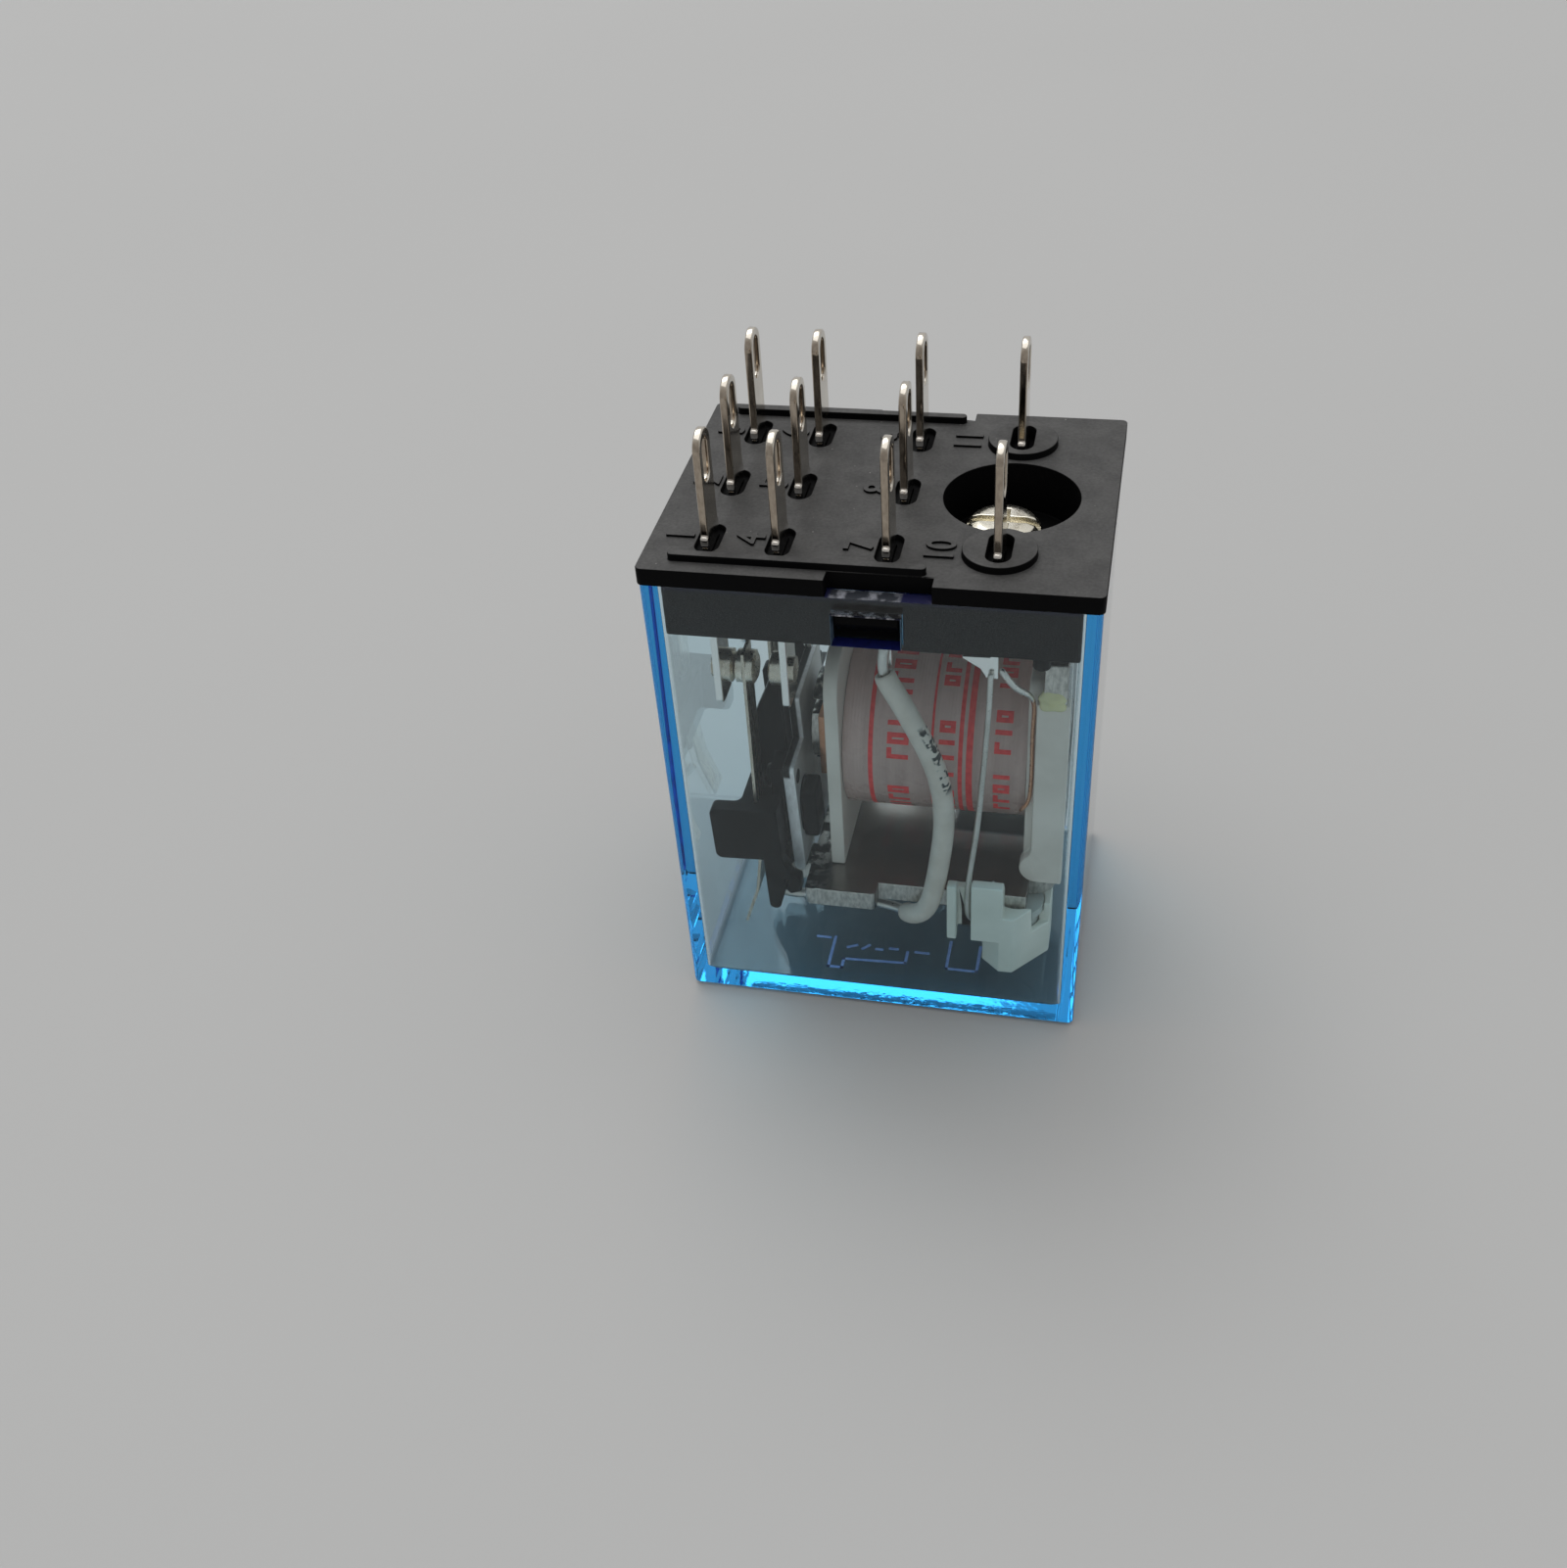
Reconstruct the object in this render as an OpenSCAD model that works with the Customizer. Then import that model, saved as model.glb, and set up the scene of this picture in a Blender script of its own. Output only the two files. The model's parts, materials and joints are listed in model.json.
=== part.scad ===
// Plug-in relay with three changeover poles and eleven blade terminals, standing on the
// closed end of its clear cover with the terminals up. Millimetres. X runs along the columns
// of terminals, Y across the poles, Z up, and the origin is the centre of the closed end.

/* [Case] */
// Width of the base's flange
case_w = 28; // [27.5:0.1:32]
// Depth of the base's flange
case_d = 21.5; // [21:0.1:25]
// Height from the closed end to the terminal face
case_h = 36; // [35:0.1:42]
// Radius of the upright corners
corner_r = 0.4; // [0.3:0.1:0.8]
// Step from the flange's edge in to the cover
cover_step = 0.1; // [0.05:0.05:0.3]
// Wall of the cover
cover_wall = 0.95; // [0.8:0.05:1.25]
// Thickness of the cover's closed end
cover_end = 1.2; // [0.8:0.1:1.6]
// Taper of the cover, inset at the closed end
cover_draft = 0.15; // [0.05:0.05:0.25]
// Bevel round the closed end
cover_bevel = 0.3; // [0.1:0.1:0.6]

/* [Base] */
// Thickness of the flange
flange_t = 1.2; // [0.8:0.1:1.4]
// Height of the skirt inside the cover
skirt_h = 4; // [3.8:0.1:5]
// Play between the skirt and the cover
skirt_fit = 0.08; // [0.05:0.01:0.2]
// Width of the latch windows in the cover
window_w = 4.3; // [3.5:0.1:5]
// Height of the latch windows
window_h = 2.2; // [1.8:0.1:2.6]
// Play of the latch hooks in their windows
latch_fit = 0.2; // [0.1:0.05:0.3]
// Width of the notches in the flange
notch_w = 6.4; // [5:0.1:8]
// Depth of the notches
notch_d = 1; // [0.6:0.1:1.2]
// Centre of the notches along X
notch_x = 0.8; // [0:0.1:1.5]
// Length of the rails on the terminal face
rail_l = 15.7; // [12:0.1:17]
// Width of the rails
rail_w = 0.6; // [0.4:0.1:0.8]
// Height of the rails
rail_h = 0.5; // [0.3:0.1:0.8]
// Diameter of the well over the fixing screw
well_d = 8.5; // [7:0.1:8.6]
// Depth of the well
well_depth = 3.4; // [3:0.1:4.2]
// Diameter of the raised discs round the coil terminals
disc_d = 4.5; // [4:0.1:4.6]
// Height of the raised discs
disc_h = 0.5; // [0.3:0.1:0.8]
// Length of the pegs under the skirt
peg_l = 1.2; // [0.8:0.1:1.4]

/* [Terminals] */
// X of the normally closed column, terminals 1 to 3
nc_x = -10.2; // [-10.5:0.1:-10]
// X of the normally open column, terminals 4 to 6
no_x = -5.8; // [-6.2:0.1:-5.4]
// X of the common column, terminals 7 to 9
com_x = 0.9; // [0:0.1:1.5]
// X of the coil column, terminals 10 and 11
coil_x = 7.5; // [7.2:0.1:7.7]
// Distance between the poles
pole_pitch = 6.8; // [6.5:0.1:6.9]
// Length of a blade above the terminal face
pin_len = 7.4; // [6:0.1:9]
// Thickness of a blade
blade_t = 0.5; // [0.4:0.05:0.6]
// Width of a blade
blade_w = 2.4; // [2:0.1:2.6]
// Width of the solder eye
eye_w = 1.3; // [0.8:0.1:1.4]
// Length of the solder eye
eye_l = 2.9; // [1.8:0.1:3.2]
// Metal left above the solder eye
eye_rim = 0.5; // [0.4:0.1:0.8]
// Width of the staking lugs beside a blade
lug_w = 0.2; // [0.15:0.05:0.3]
// Height of the staking lugs
lug_h = 0.8; // [0.6:0.1:1]
// Play of a blade in the base
blade_fit = 0.02; // [0.01:0.01:0.05]

/* [Contacts] */
// Distance from the skirt down to the contacts
contact_drop = 4; // [3.8:0.1:4.4]
// Length of a contact strip beyond its contact's centre
strip_tail = 2.4; // [1.8:0.1:2.6]
// Diameter of the contact heads
contact_d = 2.2; // [1.8:0.1:2.4]
// Diameter of the contact shanks
shank_d = 1.2; // [0.9:0.1:1.3]
// Height of the normally closed contact heads
contact_h = 0.7; // [0.5:0.05:0.8]
// Height of the moving contact heads
moving_h = 0.6; // [0.5:0.05:0.7]
// Travel of the moving contacts
contact_travel = 0.75; // [0.6:0.05:0.8]
// Play between two contact faces that meet
touch_gap = 0.05; // [0.04:0.01:0.08]
// Thickness of the moving springs
spring_t = 0.2; // [0.15:0.05:0.25]
// Width of the moving springs
spring_w = 2; // [1.6:0.1:2.2]

/* [Armature] */
// Thickness of the armature
armature_t = 0.8; // [0.7:0.05:0.9]
// Width of the armature at its hinge
armature_w = 14; // [13:0.1:14.4]
// Width of the armature's head
head_w = 7; // [6.4:0.1:7]
// Height of the armature's shoulders above its hinge
shoulder_h = 8.6; // [8.2:0.1:9]
// Height of the armature's head above its hinge
head_h = 12; // [11.2:0.1:12.4]
// Distance from the moving springs to the hinge
hinge_offset = 2.6; // [2.5:0.05:2.7]
// Length of the armature's spring tail below its hinge
tail_l = 4.8; // [4.4:0.1:5]
// Thickness of the carrier's end levers
lever_t = 1.1; // [1:0.1:1.5]
// Thickness of the carrier's columns
column_t = 1.5; // [1.2:0.1:1.5]
// Thickness of the carrier's feet
foot_t = 1; // [0.8:0.1:1]
// Reach of the end levers beyond the springs
lever_l = 2.8; // [2.4:0.1:3.1]
// Height of the carrier's cross bar
bar_h = 4.4; // [4:0.1:4.6]
// Rounding of the end levers
lever_r = 0.5; // [0.4:0.1:0.9]
// Width of the carrier's bosses through the armature
boss_w = 3; // [2.4:0.1:3.2]
// Height of the bosses
boss_h = 4.2; // [3.4:0.1:4.2]

/* [Yoke] */
// Thickness of the yoke
yoke_t = 1.5; // [1.4:0.05:1.6]
// Height of the yoke
yoke_h = 22.4; // [22.2:0.1:22.8]
// Width of the yoke's arm
arm_w = 12; // [11:0.1:12.2]
// Width of the arm above the bobbin
arm_top_w = 14.4; // [13.4:0.1:15]
// Gap between the yoke's arm and the cover
arm_gap = 0.8; // [0.6:0.05:1]
// Width of the tab under the base
tab_w = 9.6; // [8:0.1:10]
// Outer radius of the yoke's bends
bend_r = 2; // [1.8:0.1:2.4]
// Length of the yoke's ears
ear_l = 5; // [4:0.1:5.4]
// Diameter of the fixing screw
screw_d = 2.6; // [2.2:0.1:3]
// Diameter of the fixing screw's head
screw_head_d = 4.8; // [4.2:0.1:5.2]

/* [Coil] */
// Height of the coil's axis above the yoke's lower limb
coil_axis_h = 8.4; // [8.2:0.1:8.6]
// Diameter over the coil's wrap
coil_d = 12; // [11:0.1:12.4]
// Thickness of the coil's wrap
wrap_t = 0.15; // [0.1:0.05:0.25]
// Diameter of the core
core_d = 6.4; // [5.6:0.1:6.8]
// Wall of the bobbin's barrel
barrel_wall = 0.9; // [0.7:0.1:1.1]
// Thickness of the bobbin's flanges
cheek_t = 0.95; // [0.8:0.05:1]
// Width of the bobbin's flanges
cheek_w = 12.8; // [12.4:0.1:13]
// Rise of the bobbin's flanges above the coil's axis
cheek_rise = 8.3; // [7.8:0.1:8.6]
// Rise of the wings beside the yoke's arm above the coil's axis
wing_rise = 7.3; // [6.8:0.1:7.5]
// Length of the core's pole beyond the bobbin
pole_l = 1.7; // [1.5:0.05:1.8]

/* [Leads] */
// Outer diameter of the sleeves on the pole leads
sleeve_d = 1.4; // [1.2:0.1:1.5]
// Bore of the sleeves
sleeve_bore = 0.95; // [0.9:0.05:1.05]
// Diameter of the pole leads
lead_d = 0.7; // [0.5:0.05:0.75]
// Diameter of the indicator's wires
wire_d = 0.4; // [0.3:0.05:0.45]
// Diameter of the coil's wire ends
coil_wire_d = 0.26; // [0.2:0.02:0.3]
// Diameter of the indicator lamp
lamp_d = 3; // [2.6:0.1:3.1]
// Diameter of the indicator's resistor
resistor_d = 1.7; // [1.4:0.1:1.8]

/* [Hidden] */
$fn = 48;
hair = 0.01;
POLES = [-1, 0, 1];
SIDES = [-1, 1];

// Inside of the cover at its open end, and at its closed end where the taper is tightest
open_w2 = case_w/2-cover_step-cover_wall;
open_d2 = case_d/2-cover_step-cover_wall;
inside_w2 = open_w2-cover_draft;
inside_d2 = open_d2-cover_draft;

// Levels of the base
flange_z = case_h-flange_t;
skirt_z = flange_z-skirt_h;
window_z = skirt_z+0.55;
rail_x = -open_w2+0.75;
rail_y = case_d/2-notch_d-rail_w/2-0.05;
well_z = case_h-well_depth;
pocket_rim = 0.25;
pocket_w = blade_t+4*pocket_rim;
pocket_l = blade_w+2*lug_w+2*pocket_rim;
pocket_depth = 0.45;
contact_z = skirt_z-contact_drop;
strip_w = blade_w+0.1;
strip_z = contact_z-strip_tail;
com_z = skirt_z-2.4;
flag_h = 1.6;
flag_l = 2;
flag_t = 0.4;
flag_z = skirt_z-2.8;

// Moving springs between the two rows of fixed contacts
nc_face = nc_x+blade_t/2+contact_h;
spring_x = nc_face+touch_gap+moving_h+spring_t/2;
no_face = spring_x+spring_t/2+moving_h+contact_travel+2*touch_gap;
no_contact_h = no_x-blade_t/2-no_face;
upset_h = 0.25;

// Yoke, hung from the base
yoke_z = skirt_z-yoke_h;
plate_z = yoke_z+yoke_t;
arm_x = inside_w2-arm_gap;
arm_x0 = arm_x-yoke_t;
screw_x = coil_x-0.5;
tab_x = screw_x-3.3;
lead_gap = 0.1;
lead_y = inside_d2-lead_gap-sleeve_d/2;
yoke_y = lead_y-sleeve_d/2-lead_gap;
ear_y = inside_d2-0.4;
peg_d = 1.1;
peg_x = arm_x0-0.1;

// Hinge: the armature's round lower edge rocks in grooves of the yoke's tongues
hinge_x = spring_x+hinge_offset;
hinge_z = plate_z+0.1;
seat_gap = 0.05;
swing = asin(contact_travel/(contact_z-hinge_z));
tongue_y = [4.4, 6.6];
yoke_end = hinge_x+armature_t/2+0.3;
armature_face = hinge_x+armature_t/2;
carrier_face = hinge_x-armature_t/2;
tail_w = 2.4;
hook_z = hinge_z-tail_l+0.8;

// Coil between the pole and the yoke's arm
coil_z = plate_z+coil_axis_h;
pole_x = armature_face+seat_gap;
cheek_x = pole_x+pole_l;
core_fit = 0.05;
barrel_d = core_d+2*core_fit+2*barrel_wall;
winding_d = coil_d-2*wrap_t-2*core_fit;
tenon_d = core_d-2.2;
ring_w = 0.55;
ring_x = [pole_x+0.7, pole_x+1.2];
ring_size = [core_d/2+ring_w+core_fit+0.3, 4.9];
wing_y = [arm_w/2+0.05, arm_w/2+1.1];
wing_left = arm_x0-0.4;
wing_top = coil_z+wing_rise;
arm_top_z = wing_top+0.1;

// Carrier on the armature
bar_z = plate_z+2;
bar_top = bar_z+bar_h;
bar_x = spring_x-0.8;
lever_x = spring_x-lever_l;
lever_end = carrier_face-0.3;
column_top = hinge_z+head_h+2.7;
column_ridge = 0.55;
lever_y = inside_d2-0.7;
column_y = [head_w/2+0.05, head_w/2+0.05+column_t];
rivet_d = 1;
rivet_head_d = rivet_d+0.8;
rivet_y = armature_w/2-rivet_head_d/2-0.05;
rivet_web = 0.9;
rivet_z = hinge_z+shoulder_h-rivet_head_d/2-0.4;
boss_y = armature_w/2-boss_w/2-0.5;
boss_z = (bar_z+bar_top)/2;
boss_fit = 0.04;

// Return spring under the yoke
coil_r = 0.85;
return_wire = 0.34;
anchor_x = [hinge_x+5.5, hinge_x+6.2];
tail_lean = tail_l-0.8;
hook_x = hinge_x+tail_lean*sin(swing);

// Indicator bracket, clipped over the yoke's lower limb
bracket_y = inside_d2-0.15;
clip_fit = 0.05;
clip_y = yoke_y+clip_fit;
lamp_x = coil_x+1.8;
lamp_y = -inside_d2+3.25;
lamp_top = yoke_z-0.1;
lamp_l = lamp_top-cover_end-1.9;
block_x = [lamp_x-2.2, lamp_x+2.3];
block_z = cover_end+2.75;
step_x = lamp_x+1.1;
rim_h = 0.7;
tray_z = lamp_top-2.5;
slot_x = coil_x-1.35;
post_x = slot_x-1.4;
clip_x = slot_x+2.4;
groove_y = lead_y-0.15;
resistor_z = lamp_top-resistor_d/2-0.1;
resistor_y = [0.6, 4.6];

// Routes of the pole leads, from a common terminal over the coil's side and under the yoke
solder_x = com_x+blade_t/2+lead_d/2+0.02;
tail_x = spring_x-0.45;
edge_y = pole_pitch+blade_w/2+lead_d/2+0.02;
under = yoke_z-cover_end;
function outer_route(side) = [
    [com_x-0.1, side*edge_y, skirt_z-0.6],
    [com_x-0.2, side*edge_y, com_z-0.3],
    [com_x+1.2, side*lead_y, coil_z+7.3],
    [com_x+3, side*lead_y, coil_z+3],
    [com_x+3.6, side*lead_y, coil_z-1],
    [com_x+3.25, side*lead_y, plate_z+3],
    [com_x+2.55, side*lead_y, yoke_z+0.8],
    [com_x+1.4, side*(lead_y-0.5), yoke_z-0.8],
    [com_x-0.3, side*(lead_y-2), yoke_z-1.7],
    [com_x-4.4, side*(lead_y-3.2), yoke_z-2.3],
    [hinge_x-1, side*(lead_y-3), yoke_z-2.3],
    [tail_x+spring_t+lead_d/2+0.1, side*(pole_pitch-0.4), yoke_z-1.2],
];
middle_route = [
    [solder_x, 0, skirt_z-0.6],
    [solder_x, 0.3, com_z-0.9],
    [com_x-0.3, lead_y-4, com_z-2],
    [com_x-1.2, lead_y-0.7, com_z-3.2],
    [com_x-0.6, lead_y, coil_z+1],
    [com_x-0.1, lead_y, plate_z+2],
    [com_x-0.3, lead_y, yoke_z-0.7],
    [com_x-0.5, lead_y-0.7, yoke_z-0.47*under],
    [com_x-1.6, lead_y-3.3, yoke_z-0.7*under],
    [com_x-4.9, lead_y-5.9, yoke_z-0.68*under],
    [hinge_x-1.3, lead_y-7.3, yoke_z-0.51*under],
    [tail_x+spring_t+lead_d/2+0.1, 0.4, yoke_z-1.6],
];
function lead_route(i) = i == 8 ? middle_route : outer_route(i == 7 ? -1 : 1);

// Routes of the coil's ends and the indicator's wires, from a coil terminal's flag
flag_y = pole_pitch+blade_w/2-flag_t/2;
coil_end_x = wing_left-coil_wire_d/2-0.1;
coil_end_y = cheek_w/2+coil_wire_d/2+0.05;
function coil_end_route(side) = [
    [coil_x+blade_t/2+coil_wire_d/2, side*flag_y, flag_z+0.6],
    [(coil_x+blade_t/2+coil_end_x)/2, side*(flag_y+0.1), flag_z-0.6],
    [coil_end_x, side*(coil_end_y+0.5), flag_z-2],
    [coil_end_x, side*coil_end_y, coil_z+4.5],
    [coil_end_x, side*coil_end_y, coil_z-0.5],
    [arm_x0-cheek_t-0.25, side*coil_end_y, coil_z-1.8],
    [arm_x0-cheek_t-0.3, side*(coil_d/2-0.4), coil_z-2.6],
];
front_wire_route = [
    [coil_x-0.2, -flag_y-0.45, flag_z+0.6],
    [coil_x-0.3, -flag_y-0.6, flag_z-3],
    [coil_x-0.8, 0.25-lead_y, coil_z-1.5],
    [slot_x, -lead_y-0.1, plate_z+1.6],
    [slot_x, -lead_y-0.1, yoke_z+0.3],
    [slot_x+0.5, -lead_y+0.5, lamp_top-0.45],
    [lamp_x-lamp_d/2-0.6, lamp_y-0.2, lamp_top-0.45],
];
back_wire_route = [
    [coil_x-0.2, flag_y+0.45, flag_z+0.6],
    [coil_x-0.1, flag_y+0.6, flag_z-3],
    [coil_x+0.8, lead_y-0.25, coil_z-1.5],
    [lamp_x, lead_y+0.1, plate_z+1.6],
    [lamp_x, lead_y+0.1, yoke_z+0.3],
    [lamp_x, lead_y-0.3, resistor_z+0.2],
    [lamp_x, resistor_y[1]+1.6, resistor_z],
];

function unit(v) = v/norm(v);

// Point at a fraction t past point i of a smooth curve through the points p
function curve_point(p, i, t) =
    let (a = p[max(i-1, 0)], b = p[i], c = p[i+1], d = p[min(i+2, len(p)-1)])
    b+t*(c-a)/2+t*t*(a-2.5*b+2*c-d/2)+t*t*t*(1.5*(b-c)+(d-a)/2);
function smooth(p, steps) = concat(
    [for (i = [0:len(p)-2], k = [0:steps-1]) curve_point(p, i, k/steps)],
    [p[len(p)-1]]
);

// Direction of a path at each of its points, and a side direction carried along without twist
function headings(path) = [for (i = [0:len(path)-1])
    unit(path[min(i+1, len(path)-1)]-path[max(i-1, 0)])];
function square_to(v, axis) = unit(v-(v*axis)*axis);
function carried(axes, i, v) = i == len(axes) ? [] :
    let (w = square_to(v, axes[i])) concat([w], carried(axes, i+1, w));

// Rings of points round a path
function rings(path, d, sides) =
    let (axes = headings(path), across = carried(axes, 0, [0.3, 0.9, 0.2]))
    [for (i = [0:len(path)-1], k = [0:sides-1])
        path[i]+d/2*(cos(360*k/sides)*across[i]+sin(360*k/sides)*cross(axes[i], across[i]))];
function skin(count, sides, start, outward) = [for (i = [0:count-2], k = [0:sides-1])
    let (n = (k+1)%sides, a = start+i*sides+k, b = start+i*sides+n)
    outward ? [a, a+sides, b+sides, b] : [a, b, b+sides, a+sides]];

// Solid wire along a path
module wire(path, d, sides) {
    count = len(path);
    ends = [[for (k = [0:sides-1]) k], [for (k = [sides-1:-1:0]) (count-1)*sides+k]];
    polyhedron(rings(path, d, sides), concat(skin(count, sides, 0, true), ends));
}

// Sleeve along a path
module sleeve(path, d, bore, sides) {
    count = len(path);
    inner = count*sides;
    last = (count-1)*sides;
    first_end = [for (k = [0:sides-1]) let (n = (k+1)%sides) [k, n, inner+n, inner+k]];
    last_end = [for (k = [0:sides-1]) let (n = (k+1)%sides)
        [last+n, last+k, inner+last+k, inner+last+n]];
    polyhedron(
        concat(rings(path, d, sides), rings(path, bore, sides)),
        concat(skin(count, sides, 0, true), skin(count, sides, inner, false), first_end, last_end)
    );
}

// Outline drawn as (y, z), extruded from x0 to x1
module along_x(x0, x1) {
    translate([x0, 0, 0]) rotate([90, 0, 90]) linear_extrude(x1-x0) children();
}

// Outline drawn as (x, z), extruded from y0 to y1
module along_y(y0, y1) {
    translate([0, y1, 0]) rotate([90, 0, 0]) linear_extrude(y1-y0) children();
}

// Round bar along X or Y
module rod_x(x0, x1, d) {
    translate([x0, 0, 0]) rotate([0, 90, 0]) cylinder(h = x1-x0, d = d);
}
module rod_y(y0, y1, d) {
    translate([0, y1, 0]) rotate([90, 0, 0]) cylinder(h = y1-y0, d = d);
}

// Box between two corners
module box(low, high) {
    translate(low) cube(high-low);
}

module rounded_square(size, r) {
    square([size[0], size[1]-2*r], center = true);
    square([size[0]-2*r, size[1]], center = true);
    for (sx = SIDES, sy = SIDES) translate([sx*(size[0]/2-r), sy*(size[1]/2-r)]) circle(r);
}

// Stadium along the second axis
module slot(w, l) {
    square([w, l-w], center = true);
    for (s = SIDES) translate([0, s*(l-w)/2]) circle(d = w);
}

// Turns a piece of the moving group from its pulled-in place to its place at rest
module at_rest() {
    translate([hinge_x, 0, hinge_z]) rotate([0, -swing, 0]) translate([-hinge_x, 0, -hinge_z]) children();
}

module at_terminals() {
    for (x = [nc_x, no_x, com_x], p = POLES) translate([x, p*pole_pitch, 0]) children();
    for (s = SIDES) translate([coil_x, s*pole_pitch, 0]) children();
}

// Section of the latch hook: a ramp that the cover's edge rides up, then a square catch
module hook_section(side) {
    y0 = open_d2-skirt_fit-0.3;
    y1 = case_d/2-cover_step-0.25;
    low = window_z+latch_fit;
    high = window_z+window_h-latch_fit;
    polygon([[side*y0, low], [side*y1, high-0.6], [side*y1, high], [side*y0, high]]);
}

module base_solid() {
    difference() {
        translate([0, 0, flange_z]) linear_extrude(flange_t) rounded_square([case_w, case_d], corner_r);
        for (s = SIDES) translate([notch_x, s*case_d/2, flange_z+flange_t/2])
            cube([notch_w, 2*notch_d, 2*flange_t], center = true);
    }
    translate([0, 0, skirt_z]) linear_extrude(skirt_h+hair)
        rounded_square(2*[open_w2-skirt_fit, open_d2-skirt_fit], corner_r);
    for (s = SIDES) {
        translate([rail_x+rail_l/2, s*rail_y, case_h-hair]) linear_extrude(rail_h+hair)
            rotate(90) slot(rail_w, rail_l);
        translate([coil_x, s*pole_pitch, case_h-hair]) cylinder(h = disc_h+hair, d = disc_d);
        translate([peg_x, s*(open_d2-skirt_fit-peg_d), skirt_z-peg_l]) cylinder(h = peg_l+hair, d = peg_d);
        along_x(-window_w/2+latch_fit, window_w/2-latch_fit) hook_section(s);
    }
}

module base() {
    core_w = 2.4;
    core_l = pole_pitch-1.6;
    gap_x = [(nc_x+no_x)/2, (no_x+com_x)/2];
    color("#2b2d2f") difference() {
        base_solid();
        translate([coil_x, 0, well_z]) cylinder(h = well_depth+hair, d = well_d);
        translate([screw_x, 0, skirt_z-hair]) cylinder(h = skirt_h, d = screw_d+0.2);
        at_terminals() {
            translate([0, 0, skirt_z-hair]) linear_extrude(case_h-skirt_z+disc_h+1)
                square([blade_t, blade_w]+2*blade_fit*[1, 1], center = true);
            translate([0, 0, case_h-pocket_depth]) linear_extrude(pocket_depth+disc_h+hair)
                slot(pocket_w, pocket_l);
        }
        for (x = gap_x, p = POLES) translate([x, p*pole_pitch, skirt_z-hair])
            linear_extrude(skirt_h-1+hair) rounded_square([core_w, core_l], 0.5);
    }
}

// Tapered block with a bevelled lower end
module tapered_block(w2, d2, z0, z1, inset, bevel) {
    hull() {
        translate([0, 0, z1-hair]) linear_extrude(hair) rounded_square(2*[w2, d2], corner_r, $fn = 32);
        for (b = [[0, bevel], [bevel, 0]]) translate([0, 0, z0+b[0]]) linear_extrude(hair)
            rounded_square(2*[w2-inset-b[1], d2-inset-b[1]], corner_r, $fn = 32);
    }
}

module cover() {
    color("#8fc4ea", 0.45) difference() {
        tapered_block(open_w2+cover_wall, open_d2+cover_wall, 0, flange_z, cover_draft, cover_bevel);
        tapered_block(open_w2, open_d2, cover_end, flange_z+hair, cover_draft, cover_bevel);
        box([-window_w/2, -case_d, window_z], [window_w/2, case_d, window_z+window_h]);
    }
}

// Outside part of a blade, drawn as (y, z): shoulders for staking, a round tip and a solder eye
module blade_outline(z0) {
    tip = case_h+pin_len;
    difference() {
        union() {
            translate([-blade_w/2, z0]) square([blade_w, tip-blade_w/2-z0]);
            translate([0, tip-blade_w/2]) circle(d = blade_w);
            translate([0, case_h+lug_h/2]) rounded_square([blade_w+2*lug_w, lug_h], 0.25);
        }
        translate([0, tip-eye_rim-eye_l/2]) slot(eye_w, eye_l);
    }
}

module blade(x, y, z0) {
    translate([0, y, 0]) along_x(x-blade_t/2, x+blade_t/2) blade_outline(z0);
}

// Contact strip below the base, with a hole for its rivet
module contact_strip(x, y) {
    translate([0, y, 0]) along_x(x-blade_t/2, x+blade_t/2) difference() {
        translate([0, (strip_z+skirt_z)/2]) rounded_square([strip_w, skirt_z-strip_z], 0.5);
        translate([0, contact_z]) circle(d = shank_d);
    }
}

// Bent flag of a coil terminal, where the coil's end and the indicator's wire are soldered
module solder_flag(side) {
    y = side*flag_y;
    along_y(y-flag_t/2, y+flag_t/2) polygon([
        [coil_x+blade_t/2, flag_z], [coil_x+blade_t/2, flag_z+flag_h], [coil_x-flag_l, flag_z+flag_h],
        [coil_x-flag_l, flag_z+flag_h-0.2], [coil_x-0.9, flag_z+0.7], [coil_x-0.5, flag_z]]);
    box([coil_x-blade_t/2, y-flag_t/2, flag_z], [coil_x+blade_t/2, y+flag_t/2, skirt_z]);
}

module terminal(i) {
    color("#c9c4b4") if (i <= 6) {
        x = i <= 3 ? nc_x : no_x;
        y = ((i-1)%3-1)*pole_pitch;
        blade(x, y, skirt_z-hair);
        contact_strip(x, y);
    } else if (i <= 9) {
        blade(com_x, (i-8)*pole_pitch, com_z);
    } else {
        side = i == 10 ? -1 : 1;
        blade(coil_x, side*pole_pitch, flag_z+flag_h);
        solder_flag(side);
    }
}

// Contact rivet along X: head, shank through a strip, and the upset end behind it
module rivet(head_d, head_h, grip, shank, upset) {
    edge = 0.15;
    rotate([0, 90, 0]) rotate_extrude() polygon([
        [0, -upset], [shank/2+0.25, -upset], [shank/2+0.25, 0], [shank/2, 0], [shank/2, grip],
        [head_d/2, grip], [head_d/2, grip+head_h-edge], [head_d/2-2*edge, grip+head_h],
        [0, grip+head_h]]);
}

module nc_contact(i) {
    color("#d9d3bd") translate([nc_x-blade_t/2, (i-2)*pole_pitch, contact_z])
        rivet(contact_d, contact_h, blade_t, shank_d, upset_h);
}

module no_contact(i) {
    color("#d9d3bd") translate([no_x+blade_t/2, (i-5)*pole_pitch, contact_z]) rotate(180)
        rivet(contact_d, no_contact_h, blade_t, shank_d, upset_h);
}

// Side of the yoke's strip, drawn as (x, z): a C with round bends, open to the left
module yoke_side() {
    reach = 2*case_w;
    middle = skirt_z-yoke_h/2;
    difference() {
        translate([arm_x-reach/2, middle]) rounded_square([reach, yoke_h], bend_r);
        translate([arm_x0-reach/2, middle]) rounded_square([reach, yoke_h-2*yoke_t], bend_r-yoke_t);
    }
}

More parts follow.
